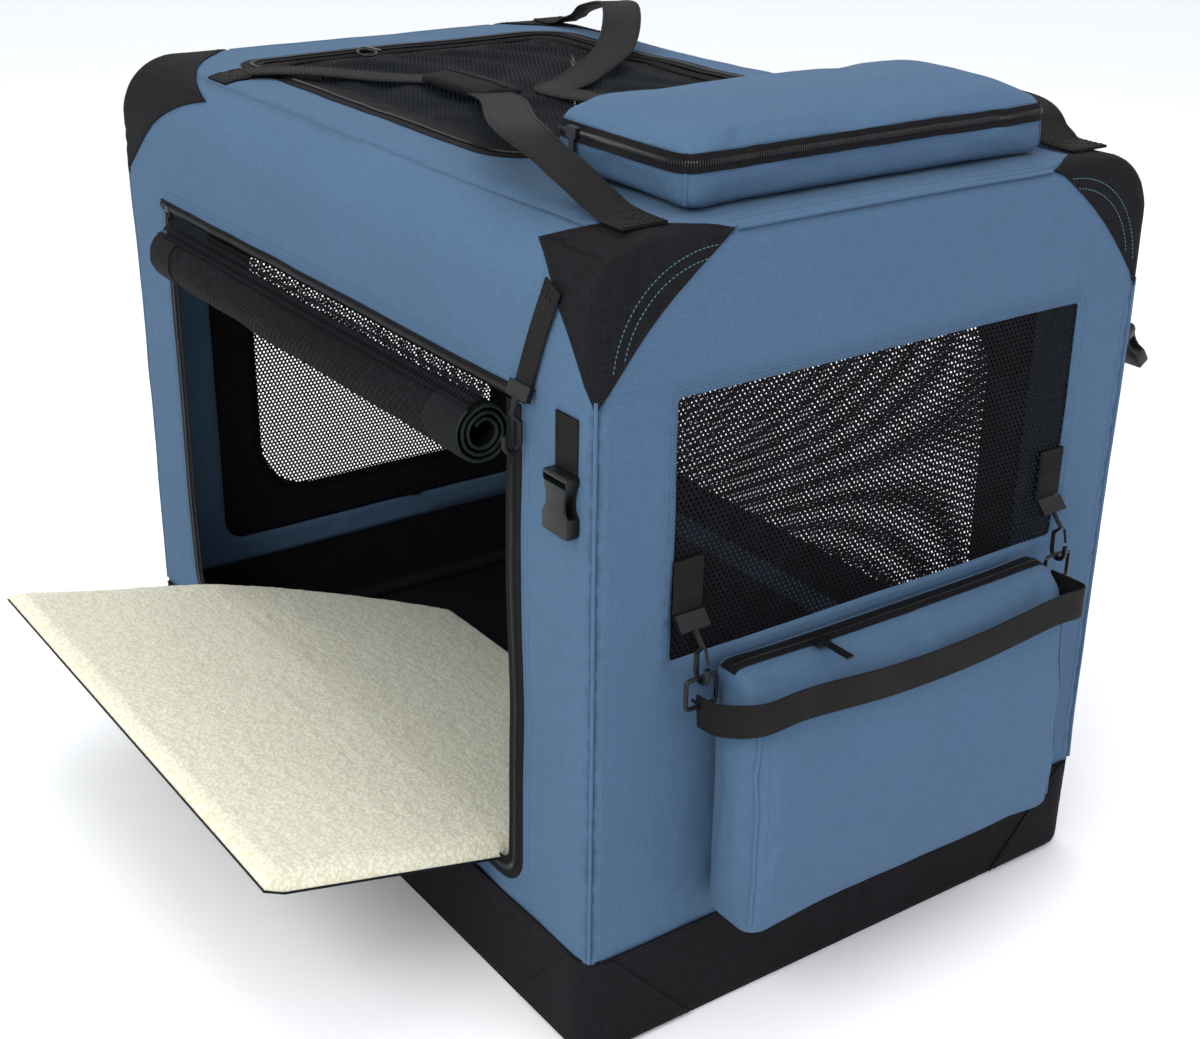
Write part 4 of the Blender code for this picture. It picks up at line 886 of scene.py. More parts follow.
def bowed(a, b):
    """The slanting edge between two ends, drawn in a little."""
    a, b = np.array(a), np.array(b)
    return [tuple((a + (b - a) * t) * (1 - 0.10 * math.sin(math.pi * t))) for t in np.arange(9) / 8]


def corner_patch(name, x_side, y_side, along_y):
    """A nylon patch over an upper corner, in three stretches that meet at the corner's edges."""
    stretches = [
        (PATCH_X, PATCH_Z, lambda a, c: (HALF_W - a, np.full_like(a, HALF_L), TOP - c)),
        (along_y, PATCH_Z, lambda b, c: (np.full_like(b, HALF_W), HALF_L - b, TOP - c)),
        (PATCH_X, along_y, lambda a, b: (HALF_W - a, HALF_L - b, np.full_like(a, TOP))),
    ]
    mirror = np.array([x_side, y_side, 1.0])
    pieces, uvs, faces, rows, start = [], [], [], [], 0
    for long, tall, place in stretches:
        edge = bowed((long, 0.0), (0.0, tall))
        flat, tri = filled([(0.0, 0.0), *edge], [], 0.007)
        pieces.append(np.stack(place(*flat.T), 1) * mirror)
        uvs.append(flat)
        faces.append(tri + start)
        start += len(flat)
        rows.append(np.stack(place(*(np.array(edge) * 0.955).T), 1) * mirror)
    points, ways = on_cabin(np.concatenate(pieces), PATCH_LIFT)
    _, first, same = np.unique(np.round(points, 5), axis=0, return_index=True, return_inverse=True)
    tri = same.reshape(-1)[np.concatenate(faces)]
    tri = tri[(tri[:, 0] != tri[:, 1]) & (tri[:, 1] != tri[:, 2]) & (tri[:, 0] != tri[:, 2])]
    uv = np.concatenate(uvs)[first]
    made = cloth(f"corner_patch_cloth_{name}", points[first], ways[first], tri, uv, 0.0010, BLACK, sharp=50)
    carry(made, "roof", [f"corner_patch_{name}"], PATCH_KEEP)
    cut_cloth(made, ["cloth_roof"])
    for line in rows:
        row(line, "roof", PATCH_KEEP, PATCH_LIFT + 0.0002, kind="black_stitches")
    for radius in (HOOP_RADIUS, HOOP_RADIUS - 0.0075):
        hoop = arc(HOOP_CENTRE, radius, 0, 90, 14)
        hoop = [(u, v) for u, v in hoop if (HALF_W - u) / PATCH_X + (TOP - v) / PATCH_Z < 0.93]
        line = [(u * x_side, HALF_L * y_side, v) for u, v in hoop]
        row(line, "roof", PATCH_KEEP, PATCH_LIFT + 0.0002, kind="teal_stitches", step=0.004)


def edge_seams():
    """The turned seams along the cabin's edges, and the rows of stitches on its cloth."""
    for side, x_side in SIDES:
        for end, y_side in ENDS:
            y = HALF_L * y_side
            line, ways = cabin_line([(HALF_W * x_side, y, z) for z in (BAND_TOP, 0.512)], 0.0004, 0.008)
            ways = [w.cross(UP) for w in ways]
            name = f"corner_welt_{end}_{side}"
            strip(name, line, (0.0042, 0.0026), ways, BLUE, "base", keep=KEEP)
            row([((HALF_W - 0.012) * x_side, y, z) for z in (BAND_TOP + 0.004, 0.502)])
    for z in (0.5095, 0.5145):
        row([(-0.246, -HALF_L, z), (0.246, -HALF_L, z)])
    for grow in (0.004, 0.009):
        row([(u, -HALF_L, v) for u, v in window_frame(grow)], closed=True)
    for x in (-0.1995, 0.1995):
        row([(x, -HALF_L, BAND_TOP + 0.004), (x, -HALF_L, WINDOW_FOOT - 0.012)])
    sides = [(doorway, grow, on_side(side)) for side in (-1, 1) for grow in (0.012, 0.017)]
    for outline, grow, place in (*sides, (rear_doorway, 0.013, on_end(1))):
        line, ways = on_cloth(place, spaced(outline(grow), LINE_STEP), ROW_LIFT)
        seam("blue_stitches", line, ways, "base", KEEP, closed=True)
    half = HALF_W - 0.110
    for end, y_side in ENDS:
        y = HALF_L * y_side
        line, ways = cabin_line([(-half, y, TOP), (half, y, TOP)], 0.0006, 0.008)
        ways = [w.cross(ACROSS) for w in ways]
        strip("roof_welt_" + end, line, (0.0040, 0.0024), ways, BLUE, "roof")
        y = (HALF_L - 0.012) * y_side
        row([(-half, y, TOP), (half, y, TOP)], "roof", None)


def window_and_doors():
    """The window's mesh, the three closed doors in their zippers, and the open doorway's zipper."""
    net = netting("window_net", window_frame(0.007), on_end(-1), -0.0016)
    carry(net, "base", ["window_mesh"], KEEP)
    cut_cloth(net, ["cloth_wall_front"], 1)
    zipped_door("side_door", doorway, on_side(1), "cloth_wall_right", 0.045, 0.055, KEEP, turned=True)
    zipped_door("rear_door", rear_doorway, on_end(1), "cloth_wall_rear", 0.045, 0.055, KEEP)
    zipped_door("roof_door", roof_doorway, on_roof, "cloth_roof", 0.022, 0.030, None, folds=0.006)
    zipper_round("side_door_zipper", doorway, on_side(1), "base", KEEP)
    zipper_round("rear_door_zipper", rear_doorway, on_end(1), "base", KEEP)
    zipper_round("roof_door_zipper", roof_doorway, on_roof, "roof", None)
    top, low, turn = DOOR_TOP - 0.004, DOOR_SILL + 0.02, DOOR_HALF - 0.02
    path = [(-DOOR_HALF, top), (-DOOR_HALF, low), *arc((-turn, low), 0.02, 180, 270)]
    path += [*arc((turn, low), 0.02, 270, 360), (DOOR_HALF, top)]
    line, ways = on_cloth(on_side(-1), spaced(path, LINE_STEP, closed=False), 0.0006)
    zipper("doorway_zipper_tape", line, ways, 0.018, 0.001, "base", ["doorway_zipper"], KEEP)


# The roll's middle, outer and inner radius, the pitch of its turns, its half length and its hems' width
ROLL_CENTRE, ROLL_RADIUS, ROLL_CORE, ROLL_PITCH, ROLL_HALF = (-0.262, 0.457), 0.024, 0.010, 0.0046, 0.263
ROLL_HEM = 0.042
ROLL_TURNS = (ROLL_RADIUS - ROLL_CORE) / ROLL_PITCH


def roll_form(turn, share, y):
    """A point on the loose spiral at one turn, and the way out from its middle."""
    way = Vector((math.cos(turn), 0, math.sin(turn)))
    soft = 0.0012 * noise.noise(Vector((way.x * 1.6, way.z * 1.6, y * 13)))
    soft += 0.0007 * noise.noise(Vector((way.x * 5, way.z * 5, y * 46)))
    droop = 0.0022 * math.cos(y / ROLL_HALF * math.pi / 2)
    radius = ROLL_RADIUS - 0.0009 - (ROLL_RADIUS - ROLL_CORE) * share + soft * (1 - share)
    return Vector((ROLL_CENTRE[0], y, ROLL_CENTRE[1] - droop)) + way * radius, way


def roll_sheet(name, start, turns, low, high, material, raised, thickness):
    """A stretch of the rolled sheet, between two places along the roll."""
    steps, rows = round(turns * 36), max(2, round((high - low) / 0.008))
    points, ways, uv, faces = [], [], [], []
    for i in range(steps + 1):
        turn = start + math.tau * turns * i / steps
        for j in range(rows + 1):
            y = low + (high - low) * j / rows
            point, way = roll_form(turn, turns * i / steps / ROLL_TURNS, y)
            points.append(tuple(point + way * raised))
            ways.append(tuple(way))
            uv.append((ROLL_RADIUS * turn, y))
            if i < steps and j < rows:
                a, b = i * (rows + 1) + j, (i + 1) * (rows + 1) + j
                faces += [(a, b, b + 1), (a, b + 1, a + 1)]
    return cloth(name, *map(np.array, (points, ways, faces, uv)), thickness, material, sharp=60)


def door_roll():
    """The mesh door rolled up under its top seam: a loose spiral with smooth hems and bound edges."""
    centre, seam_at = Vector(ROLL_CENTRE), Vector((-HALF_W - 0.0014, DOOR_TOP))
    pull = seam_at - centre
    start = math.atan2(pull.y, pull.x) + math.acos((ROLL_RADIUS - 0.001) / pull.length)
    parts = [roll_sheet("spiral", start, ROLL_TURNS, -ROLL_HALF, ROLL_HALF, ROLL_CLOTH, 0.0, 0.0013)]
    for low, high in ((-ROLL_HALF, -ROLL_HALF + ROLL_HEM), (ROLL_HALF - ROLL_HEM, ROLL_HALF)):
        parts.append(roll_sheet("hem", start, 1.02, low, high, BLACK, 0.0009, 0.0008))
    for y_side in (-1, 1):
        y = (ROLL_HALF - 0.0005) * y_side
        ring = [roll_form(start + math.tau * ROLL_TURNS * i / 90, i / 90, y) for i in range(91)]
        path, section = [p - w * 0.0006 for p, w in ring], strap_section(0.0034, 0.0026)
        parts.append(swept("binding", path, section, [w for _, w in ring], BINDING))
    piece = joined("rolled_mesh_door", parts)
    carry(piece, "base", ["rolled_door"], KEEP)
    meet = centre + Vector((math.cos(start), math.sin(start))) * ROLL_RADIUS

    def hanging(u, v):
        share = np.clip((seam_at.y - v) / (seam_at.y - meet.y), 0, 1)
        return np.stack([seam_at.x + (meet.x - seam_at.x) * share, u, v], 1)

    low, high, half = meet.y - 0.001, seam_at.y, ROLL_HALF
    net = netting("rolled_door_top_net", [(-half, low), (half, low), (half, high), (-half, high)], hanging)
    carry(net, "base", keep=KEEP)
    low, high, half = DOOR_TOP - 0.002, DOOR_TOP + 0.007, 0.302
    band = [(-half, low), (half, low), (half, high), (-half, high)]
    tape = sheet("doorway_top_tape", band, [], on_side(-1), BLACK, 0.006, 0.0012, 0.0009)
    carry(tape, "base", keep=KEEP)
    coil = [(-HALF_W, y, DOOR_TOP + 0.0025) for y in (-0.300, 0.300)]
    row(coil, lift=0.0024, kind="zipper_coil")


# Webbing, its stitches and its fittings


def heading(path):
    """The way along a path at each point."""
    last = len(path) - 1
    return [(path[min(i + 1, last)] - path[max(i - 1, 0)]).normalized() for i in range(last + 1)]


def facing_along(path, wanted):
    """The wanted way to face, made square to the path at each point."""
    return [(wanted - along * wanted.dot(along)).normalized() for along in heading(path)]


def strap_rows(path, facing, size, body, share):
    """A row of stitches down each side of a strap, at a share of its half width."""
    width, thickness = size
    for side in (-share, share):
        line = []
        for p, f, along in zip(path, facing, heading(path)):
            line.append(p + along.cross(f) * width / 2 * side + f * (thickness / 2 + 0.0002))
        seam("black_stitches", line, facing, body)


def box_stitch(path, facing, size, body, long, ends=(1, -1), inset=0.002):
    """The crossed square that sews a strap down: long from its start (1), its end (-1) or both."""
    width, thickness = size
    for way in ends:
        points, walked, line, faces = path[::way], 0.0, [], []
        for i, (point, face) in enumerate(zip(points, facing[::way])):
            walked += (point - points[max(i - 1, 0)]).length
            if inset <= walked <= long:
                line.append(point)
                faces.append(face)
        last = len(line) - 1
        sides = [along.cross(f).normalized() * (width / 2 - inset) for f, along in zip(faces, heading(line))]
        raised = [p + f * (thickness / 2 + ROW_LIFT) for p, f in zip(line, faces)]
        left = [p + s for p, s in zip(raised, sides)]
        right = [p - s for p, s in zip(raised, sides)]
        cross = [p + s * (1 - 2 * i / last) for i, (p, s) in enumerate(zip(raised, sides))]
        other = [p - s * (1 - 2 * i / last) for i, (p, s) in enumerate(zip(raised, sides))]
        for stitches in (left, right, cross, other):
            seam("black_stitches", stitches, faces, body)
        for i in (0, last):
            seam("black_stitches", [left[i], right[i]], [faces[i]] * 2, body)


# Widths and thicknesses of the webbing
HANDLE, BAG_WEB, TAB_WEB, DOOR_WEB = (0.036, 0.0022), (0.025, 0.0018), (0.025, 0.0022), (0.018, 0.0018)
# The handles' ways, in shares of half the width, half the length and their rise over the roof
HANDLE_RISE = 0.040
LEFT_ROUTE = [(-0.728, 0.612, 0.100), (-0.591, 0.525, 0.155), (-0.402, 0.394, 0.100), (-0.260, 0.249, 0.163)]
LEFT_ROUTE += [(-0.276, 0.105, 0.163), (-0.433, -0.131, 0.450), (-0.709, -0.446, 0.850)]
LEFT_ROUTE += [(-0.843, -0.630, 1.000), (-0.835, -0.745, 0.650)]
RIGHT_ROUTE = [(0.830, 0.745, 0.650), (0.709, 0.525, 0.950), (0.433, 0.289, 0.450), (0.138, 0.158, 0.113)]
RIGHT_ROUTE += [(-0.047, 0.053, 0.113), (0.079, -0.158, 0.150), (0.433, -0.368, 0.300)]
RIGHT_ROUTE += [(0.807, -0.525, 0.600), (0.835, -0.745, 0.650)]
# A handle's sewn end, flat on a corner patch, and the small rise before it
FOOT = ((0.204, 0.361, 0.0032), (0.204, 0.346, 0.0032), (0.204, 0.331, 0.0043), (0.207, 0.316, 0.0107))
# The shoulder strap's way, in shares of its half width, its reach out from the rings and its drop
STRAP_RINGS, STRAP_OUT, STRAP_TOP, STRAP_DROP = -0.401, 0.065, 0.312, 0.0366
STRAP_ROUTE = [(1.000, -0.046, 1.000), (0.986, 0.292, 0.943), (0.893, 0.677, 0.738), (0.678, 0.754, 0.615)]
STRAP_ROUTE += [(0.226, 0.754, 0.760)]
FITTING_X, BAG_TAB_Y = 0.177, -HALF_L - 0.0016


def carrying_handles():
    """The two handles, each from its sewn foot over the roof to the other."""
    def foot(x_side, y_side):
        return [Vector((x * x_side, y * y_side, TOP + z)) for x, y, z in FOOT]

    def route(shares):
        return [Vector((x * HALF_W, y * HALF_L, TOP + z * HANDLE_RISE)) for x, y, z in shares]

    edge, reach = HALF_W - ROOF_ROUND, ROOF_ROUND + 0.0006 + HANDLE[1] / 2
    left = []
    for turn in map(math.radians, (19, 9.5, 0)):
        left.append((-edge - reach * math.sin(turn), 0.236, TOP - ROOF_ROUND + reach * math.cos(turn)))
    left += route(LEFT_ROUTE) + foot(-1, -1)[::-1]
    right = foot(1, 1) + route(RIGHT_ROUTE) + foot(1, -1)[::-1]
    for name, points in (("left", left), ("right", right)):
        path, body = curve_points(points, 8), f"{name}_handle"
        facing = facing_along(path, UP)
        strip(f"handle_{name}_webbing", path, HANDLE, facing, WEBBING, body, [f"handle_{name}"])
        strap_rows(path, facing, HANDLE, body, 0.82)
        box_stitch(path, facing, HANDLE, body, 0.030, inset=0.0025)


def hanging_straps():
    """The webbing of the bag and the roll: two tabs on the wall, the shoulder strap and the door strap."""
    for side, x_side in SIDES:
        heights = enumerate(np.linspace(0.388, 0.349, 9))
        path = [Vector((FITTING_X * x_side, BAG_TAB_Y - 0.0002 * (k % 2), z)) for k, z in heights]
        facing, name = [FRONTWARD] * len(path), f"bag_tab_{side}"
        strip(f"bag_tab_webbing_{side}", path, TAB_WEB, facing, WEBBING, "bag_hanger", [name])
        box_stitch(path, facing, TAB_WEB, "bag_hanger", 0.024, (1,))
    shares = STRAP_ROUTE + [(-x, y, z) for x, y, z in reversed(STRAP_ROUTE)]
    points = []
    for x, y, z in shares:
        height = STRAP_TOP - z * STRAP_DROP + 0.003 * abs(x)
        points.append((-x * FITTING_X, STRAP_RINGS - y * STRAP_OUT, height))
    path = curve_points(points, 10)
    facing = []
    for p, along in zip(path, heading(path)):
        out = along.cross(UP)
        facing.append((out if out.y < 0 or abs(p.x) > 0.165 else -out).normalized())
    strip("shoulder_strap_webbing", path, BAG_WEB, facing, WEBBING, "bag", ["bag_strap"])
    box_stitch(path, facing, BAG_WEB, "bag", 0.022)
    places = ((-0.3385, 0.5775), (-0.3195, 0.5385), (-0.3025, 0.4985))
    path = curve_points([(-HALF_W - 0.003, y, z) for y, z in places], 12)
    facing = facing_along(path, -ACROSS)
    strip("door_strap_webbing", path, DOOR_WEB, facing, WEBBING, "wall_fittings", ["door_strap"])
    box_stitch(path, facing, DOOR_WEB, "wall_fittings", 0.014, (1,))


def extruded(name, outline, low, high, place):
    """A solid from a flat outline between two depths. place turns (across, along, depth) into a point."""
    n = len(outline)
    points = [place(u, v, depth) for depth in (low, high) for u, v in outline]
    faces = [tuple(range(n - 1, -1, -1)), tuple(range(n, 2 * n))]
    faces += [(i, (i + 1) % n, (i + 1) % n + n, i + n) for i in range(n)]
    return turned_out(put(name, points, faces, PLASTIC, np.array(outline * 2), smooth=False))


def bevelled(obj, width, segments):
    """Rounds the edges of a moulded form and smooths it between them."""
    applied(obj, "BEVEL", width=width, segments=segments, limit_method="ANGLE", angle_limit=math.radians(32))
    obj.data.shade_smooth()
    obj.data.set_sharp_from_angle(angle=math.radians(38))


# A buckle half's half width, depth, foot below its head and wall, and the height of its stub's hinge
BUCKLE_HALF, BUCKLE_DEEP, BUCKLE_FOOT, BUCKLE_WALL, BUCKLE_HINGE = 0.0150, 0.0105, -0.0430, 0.0019, 0.489
# One side of a buckle half, as drawn in from its half width, and along from its head
BUCKLE_EDGE = ((0.0030, 0.0), (0.0006, -0.0014), (0.0008, -0.0060), (0.0022, -0.0085), (0.0042, -0.0150))
BUCKLE_EDGE += ((0.0046, -0.0200), (0.0040, -0.0250), (0.0016, -0.0278), (0.0, -0.0300), (0.0, -0.0400))
BUCKLE_EDGE += ((0.0012, BUCKLE_FOOT),)


def buckle(name, x_side, turn):
    """The female half of a side-release buckle: waisted, with a slotted head, side windows and a mouth."""
    near, middle, stub = HALF_W + ROW_LIFT, -HALF_L + 0.029, 0.030
    inner = near + (BAG_WEB[1] - BUCKLE_DEEP) / 2 if turn else near
    top = BUCKLE_HINGE - stub - 0.0003
    c, s = math.cos(math.radians(turn)), math.sin(math.radians(turn))

    def place(u, v, w):
        dx, dz = inner + w - near, top + v - BUCKLE_HINGE
        return ((near + dx * c - dz * s) * x_side, middle + u, BUCKLE_HINGE + dx * s + dz * c)

    edge = [(BUCKLE_HALF - u, v) for u, v in BUCKLE_EDGE]
    outline = edge + [(-u, v) for u, v in reversed(edge)]
    body = extruded(f"buckle_body_{name}", outline, 0.0, BUCKLE_DEEP, place)
    bevelled(body, 0.0012, 3)
    wall, window = BUCKLE_WALL, BUCKLE_WALL + 0.0004
    # The mouth, the side windows and the webbing's slot, by half width, start, end and depths
    for half, start, end, low, high in (
        (BUCKLE_HALF - wall, BUCKLE_FOOT - 0.01, -0.014, wall, BUCKLE_DEEP - wall),
        (BUCKLE_HALF + 0.01, -0.0285, -0.0130, window, BUCKLE_DEEP - window),
        (0.0128, -0.0032, -0.0078, 0.004, 0.02),
    ):
        hole = [(half, start), (half, end), (-half, end), (-half, start)]
        cutter = extruded("cutter", hole, low, high, place)
        applied(body, "BOOLEAN", operation="DIFFERENCE", solver="EXACT", object=cutter)
        bpy.data.objects.remove(cutter, do_unlink=True)
    bevelled(body, 0.0003, 2)
    rides = f"{name}_buckle"
    carry(body, rides, [f"buckle_{name}"])
    out = (Vector(place(0, 0, 1)) - Vector(place(0, 0, 0))).normalized()
    raised = out * (BUCKLE_DEEP / 2 if turn else BAG_WEB[1] / 2)
    path = [Vector(place(0, stub + 0.0003 - stub * t, 0.0)) + raised for t in np.linspace(0.0, 1.0, 8)]
    sewn = (HALF_W + 0.0012) * x_side if turn else path[0].x
    path = curve_points([(sewn, middle, 0.4965), *path], 4)
    facing = facing_along(path, out)
    nodes = [f"buckle_{name}_stub"]
    strip(f"buckle_webbing_{name}", path, BAG_WEB, facing, WEBBING, rides, nodes)
    strap_rows(path, facing, BAG_WEB, rides, 0.8)


# The mat


# The mat's half length, the pile's grid and rounded rim, and the thickness of its back
MAT_HALF, MAT_STEP, MAT_ROUND, MAT_BACK = 0.2675, 0.0026, 0.013, 0.0022


def cells(rows, columns):
    """The numbers of a grid's points, and the four corners of each of its cells."""
    index = np.arange(rows * columns).reshape(rows, columns)
    corners = (index[:-1, :-1], index[1:, :-1], index[1:, 1:], index[:-1, 1:])
    return index, [corner.ravel() for corner in corners]


def fleece_mat():
    """The fleece mat, drawn out over the sill: deep curled pile, and a woven back that shows at its edges."""
    p = np.array([v.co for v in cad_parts["fleece_mat"].data.vertices])
    xs = np.unique(np.round(p[:, 0], 4))
    heights = [p[np.abs(p[:, 0] - x) < 2e-4][:, 2] for x in xs]
    tops, feet = np.array([h.max() for h in heights]), np.array([h.min() for h in heights])
    nx, ny = int((xs[-1] - xs[0]) / MAT_STEP), int(2 * MAT_HALF / MAT_STEP)
    x, y = np.linspace(xs[0] + 0.001, xs[-1] - 0.001, nx), np.linspace(0.001 - MAT_HALF, MAT_HALF - 0.001, ny)
    gx, gy = (grid.ravel() for grid in np.meshgrid(x, y, indexing="ij"))
    edge = np.minimum(np.minimum(gx - x[0], x[-1] - gx), np.minimum(gy - y[0], y[-1] - gy))
    corner = np.clip(edge / MAT_ROUND, 0, 1)
    crown = np.sqrt(np.clip(1 - (1 - corner) ** 2, 0, 1))
    pile = []
    for a, b in zip(gx, gy):
        slow = noise.noise(Vector((a * 14, b * 14, 3)))
        tuft = noise.noise(Vector((a * 95, b * 95, 7)))
        curl = noise.noise(Vector((a * 270, b * 270, 1)))
        pile.append(0.0014 * slow + 0.0007 * tuft + 0.0006 * curl)
    body = np.interp(gx, xs, feet) + 0.0030
    z = body + (np.interp(gx, xs, tops) - 0.0005 - body) * crown + np.array(pile) * (0.4 + 0.6 * corner)
    points = np.stack([gx, gy, z], 1)
    index, corners = cells(nx, ny)
    faces = np.stack(corners, 1).tolist()
    rim = list(index[:, 0]) + list(index[-1, 1:]) + list(index[-2::-1, -1]) + list(index[0, -2:0:-1])
    foot = points[rim].copy()
    foot[:, 2] = np.interp(foot[:, 0], xs, feet) + MAT_BACK
    n, count = len(rim), nx * ny
    faces += [(rim[k], count + k, count + (k + 1) % n, rim[(k + 1) % n]) for k in range(n)]
    points = np.concatenate([points, foot])
    fleece = put("fleece_pile", points, faces, FLEECE, points[:, :2])
    back = []
    for a in np.linspace(xs[0] - 0.0003, xs[-1] - 0.001, 60):
        for b in np.linspace(-MAT_HALF, MAT_HALF, 40):
            wave = 0.0002 * noise.noise(Vector((a * 30, b * 30, 2)))
            back.append((a, b, float(np.interp(a, xs, feet)) + MAT_BACK + wave))
    back = np.array(back)
    a, b, c, d = cells(60, 40)[1]
    faces = np.concatenate([np.stack([a, b, c], 1), np.stack([a, c, d], 1)])
    back = cloth("mat_back", back, np.tile(UP, (len(back), 1)), faces, back[:, :2], 0.0016, BOARD, sharp=50)
    piece = joined("fleece_mat_pad", [fleece, back])
    carry(piece, "mat", ["fleece_mat"])


# The pouch, the bag and the wrap


def corner_places(mesh):
    """Where the corners of a mesh are, as an array."""
    places = np.empty(len(mesh.vertices) * 3)
    mesh.vertices.foreach_get("co", places)
    return places.reshape(-1, 3)


def cloth_blown(obj, pressure, cap, frames=20, voxel=0.005):
    """A closed form remeshed and blown up a little by a cloth simulation, each point held near its start."""
    applied(obj, "REMESH", mode="VOXEL", voxel_size=voxel)
    start = corner_places(obj.data)
    settings = obj.modifiers.new("puff", "CLOTH").settings
    settings.use_pressure, settings.uniform_pressure_force = True, pressure
    settings.effector_weights.gravity = 0
    settings.quality = 6
    settings.tension_stiffness = settings.compression_stiffness = 22
    settings.bending_stiffness = 0.6
    scene = bpy.context.scene
    for step in range(1, frames + 1):
        scene.frame_set(step)
    applied(obj)
    scene.frame_set(1)
    move = corner_places(obj.data) - start
    move *= np.minimum(1, cap / np.maximum(np.linalg.norm(move, axis=1, keepdims=True), 1e-9))
    obj.data.vertices.foreach_set("co", (start + move).ravel())


def lofted(name, rings, material):
    """A closed form through rings of points of equal number, capped at both ends."""
    n, last = len(rings[0]), (len(rings) - 1) * len(rings[0])
    points = [p for ring in rings for p in ring]
    pairs = [(r + i, r + (i + 1) % n) for r in range(0, last, n) for i in range(n)]
    faces = [(i, j, j + n, i + n) for i, j in pairs]
    faces += [tuple(range(n - 1, -1, -1)), tuple(range(last, last + n))]
    return turned_out(put(name, points, faces, material, np.array(points)[:, :2]))


def finished(obj, material, body, nodes):
    """A blown form made finer, mapped in metres from the side each face looks to, and set to ride on its body
    in place of its solids.
    """
    if not obj.data.materials:
        obj.data.materials.append(material)
    applied(obj, "SUBSURF", levels=1, render_levels=1)
    mesh = obj.data
    mesh.shade_smooth()
    layer = mesh.uv_layers["cloth"] if "cloth" in mesh.uv_layers else mesh.uv_layers.new(name="cloth")
    for polygon in mesh.polygons:
        axis = max(range(3), key=lambda k: abs(polygon.normal[k]))
        u, v = ((1, 2), (0, 2), (0, 1))[axis]
        for corner in polygon.loop_indices:
            place = mesh.vertices[mesh.loops[corner].vertex_index].co
            layer.data[corner].uv = (place[u], place[v])
    carry(obj, body, nodes)
    triangles = [tuple(p.vertices) for p in mesh.polygons]
    return BVHTree.FromPolygons([tuple(v.co) for v in mesh.vertices], triangles)


def softened(ways, rounds):
    """Directions along a line, evened out."""
    last = len(ways) - 1
    for _ in range(rounds):
        near = [(ways[max(i - 1, 0)], ways[i], ways[min(i + 1, last)]) for i in range(last + 1)]
        ways = [(a + b * 2 + c).normalized() for a, b, c in near]
    return ways


def hugging(tree, points, lift):
    """A line laid on a form, each point where the form is nearest to it."""
    met = [tree.find_nearest(Vector(p)) for p in points]
    return [spot + way * lift for spot, way, _, _ in met], softened([way.copy() for _, way, _, _ in met], 3)


def dropped(tree, points, lift):
    """A line laid on a form, each point straight under where it was."""
    met = [tree.ray_cast(Vector(p), -UP) for p in points]
    met = [(spot, way) for spot, way, _, _ in met if spot]
    return [spot + way * lift for spot, way in met], [way.copy() for _, way in met]


# Heights, insets and corner radii of the pouch's rings, and the insets and rises of its crown
POUCH_RINGS = ((0.0, 0.002, 0.012), (0.10, 0.0, 0.014), (0.45, 0.0005, 0.016), (0.68, 0.001, 0.018))
POUCH_RINGS += ((0.80, 0.003, 0.020), (0.92, 0.012, 0.024), (1.0, 0.030, 0.030))
POUCH_CROWN = ((0.045, 0.004), (0.062, 0.0065))


def top_pouch():
    """The pouch on the roof: a soft box whose lid zips round three sides."""
    (x0, y0), (x1, y1) = POUCH_LOW, POUCH_HIGH
    base = TOP + 0.0008

    def ring(inset, radius, z):
        low, high = (x0 + inset, y0 + inset), (x1 - inset, y1 - inset)
        return [(x, y, z) for x, y in rounded(low, high, radius)]

    rings = [ring(inset, radius, base + POUCH_RISE * share) for share, inset, radius in POUCH_RINGS]
    rings += [ring(inset, 0.02, base + POUCH_RISE + up) for inset, up in POUCH_CROWN]
    form = lofted("pouch_cloth", rings, BLUE)
    cloth_blown(form, 3.0, 0.004)
    for v in form.data.vertices:
        x, y, z = v.co
        share = (z - base) / (POUCH_RISE + 0.012)
        wave = noise.noise(Vector((x * 18, y * 18, z * 22))) * 0.0022
        wave += noise.noise(Vector((x * 45, y * 45, z * 40))) * 0.0007
        top = min(1, max(0.0, share - 0.15))
        v.co.z = max(base, z + wave * min(1, share * 2.5))
        v.co.x += wave * 0.6 * top
        v.co.y += wave * 0.6 * top
    tree = finished(form, BLUE, "roof", ["top_pouch"])
    level, bend = base + POUCH_RISE * 0.66, 0.016
    loop = [(x0, y1 - 0.010), (x0, y0 + bend), *arc((x0 + bend, y0 + bend), bend, 180, 270)]
    loop += [*arc((x1 - bend, y0 + bend), bend, 270, 360), (x1, y1 - 0.010)]
    loop = spaced(loop, 0.005, closed=False)
    line, ways = hugging(tree, [(x, y, level) for x, y in loop], 0.0008)
    zipper("pouch_zipper_tape", line, ways, 0.0125, 0.0009, "roof")
    for rise in (-0.0095, 0.0095):
        seam("blue_stitches", *hugging(tree, [(x, y, level + rise) for x, y in loop], 0.0004), "roof")
    loop = rounded((x0 - 0.003, y0 - 0.003), (x1 + 0.003, y1 + 0.003), bend)
    row([(x, y, TOP) for x, y in loop], "roof", None, closed=True, step=0.005)
    for (side, _), x in zip(SIDES, (x0 + 0.0050, x1 - 0.0050)):
        column = [(x, y0 + 0.0050, base + POUCH_RISE * t) for t in np.linspace(0.04, 0.52, 7)]
        line, ways = hugging(tree, column, 0.0004)
        strip(f"pouch_welt_{side}", line, (0.0030, 0.0016), ways, BLUE, "roof")


# The bag's corners across and up, and its back and front
BAG_LOW, BAG_HIGH, BAG_BACK, BAG_FRONT = (-0.160, 0.102), (0.160, 0.308), -0.3816, -0.4463
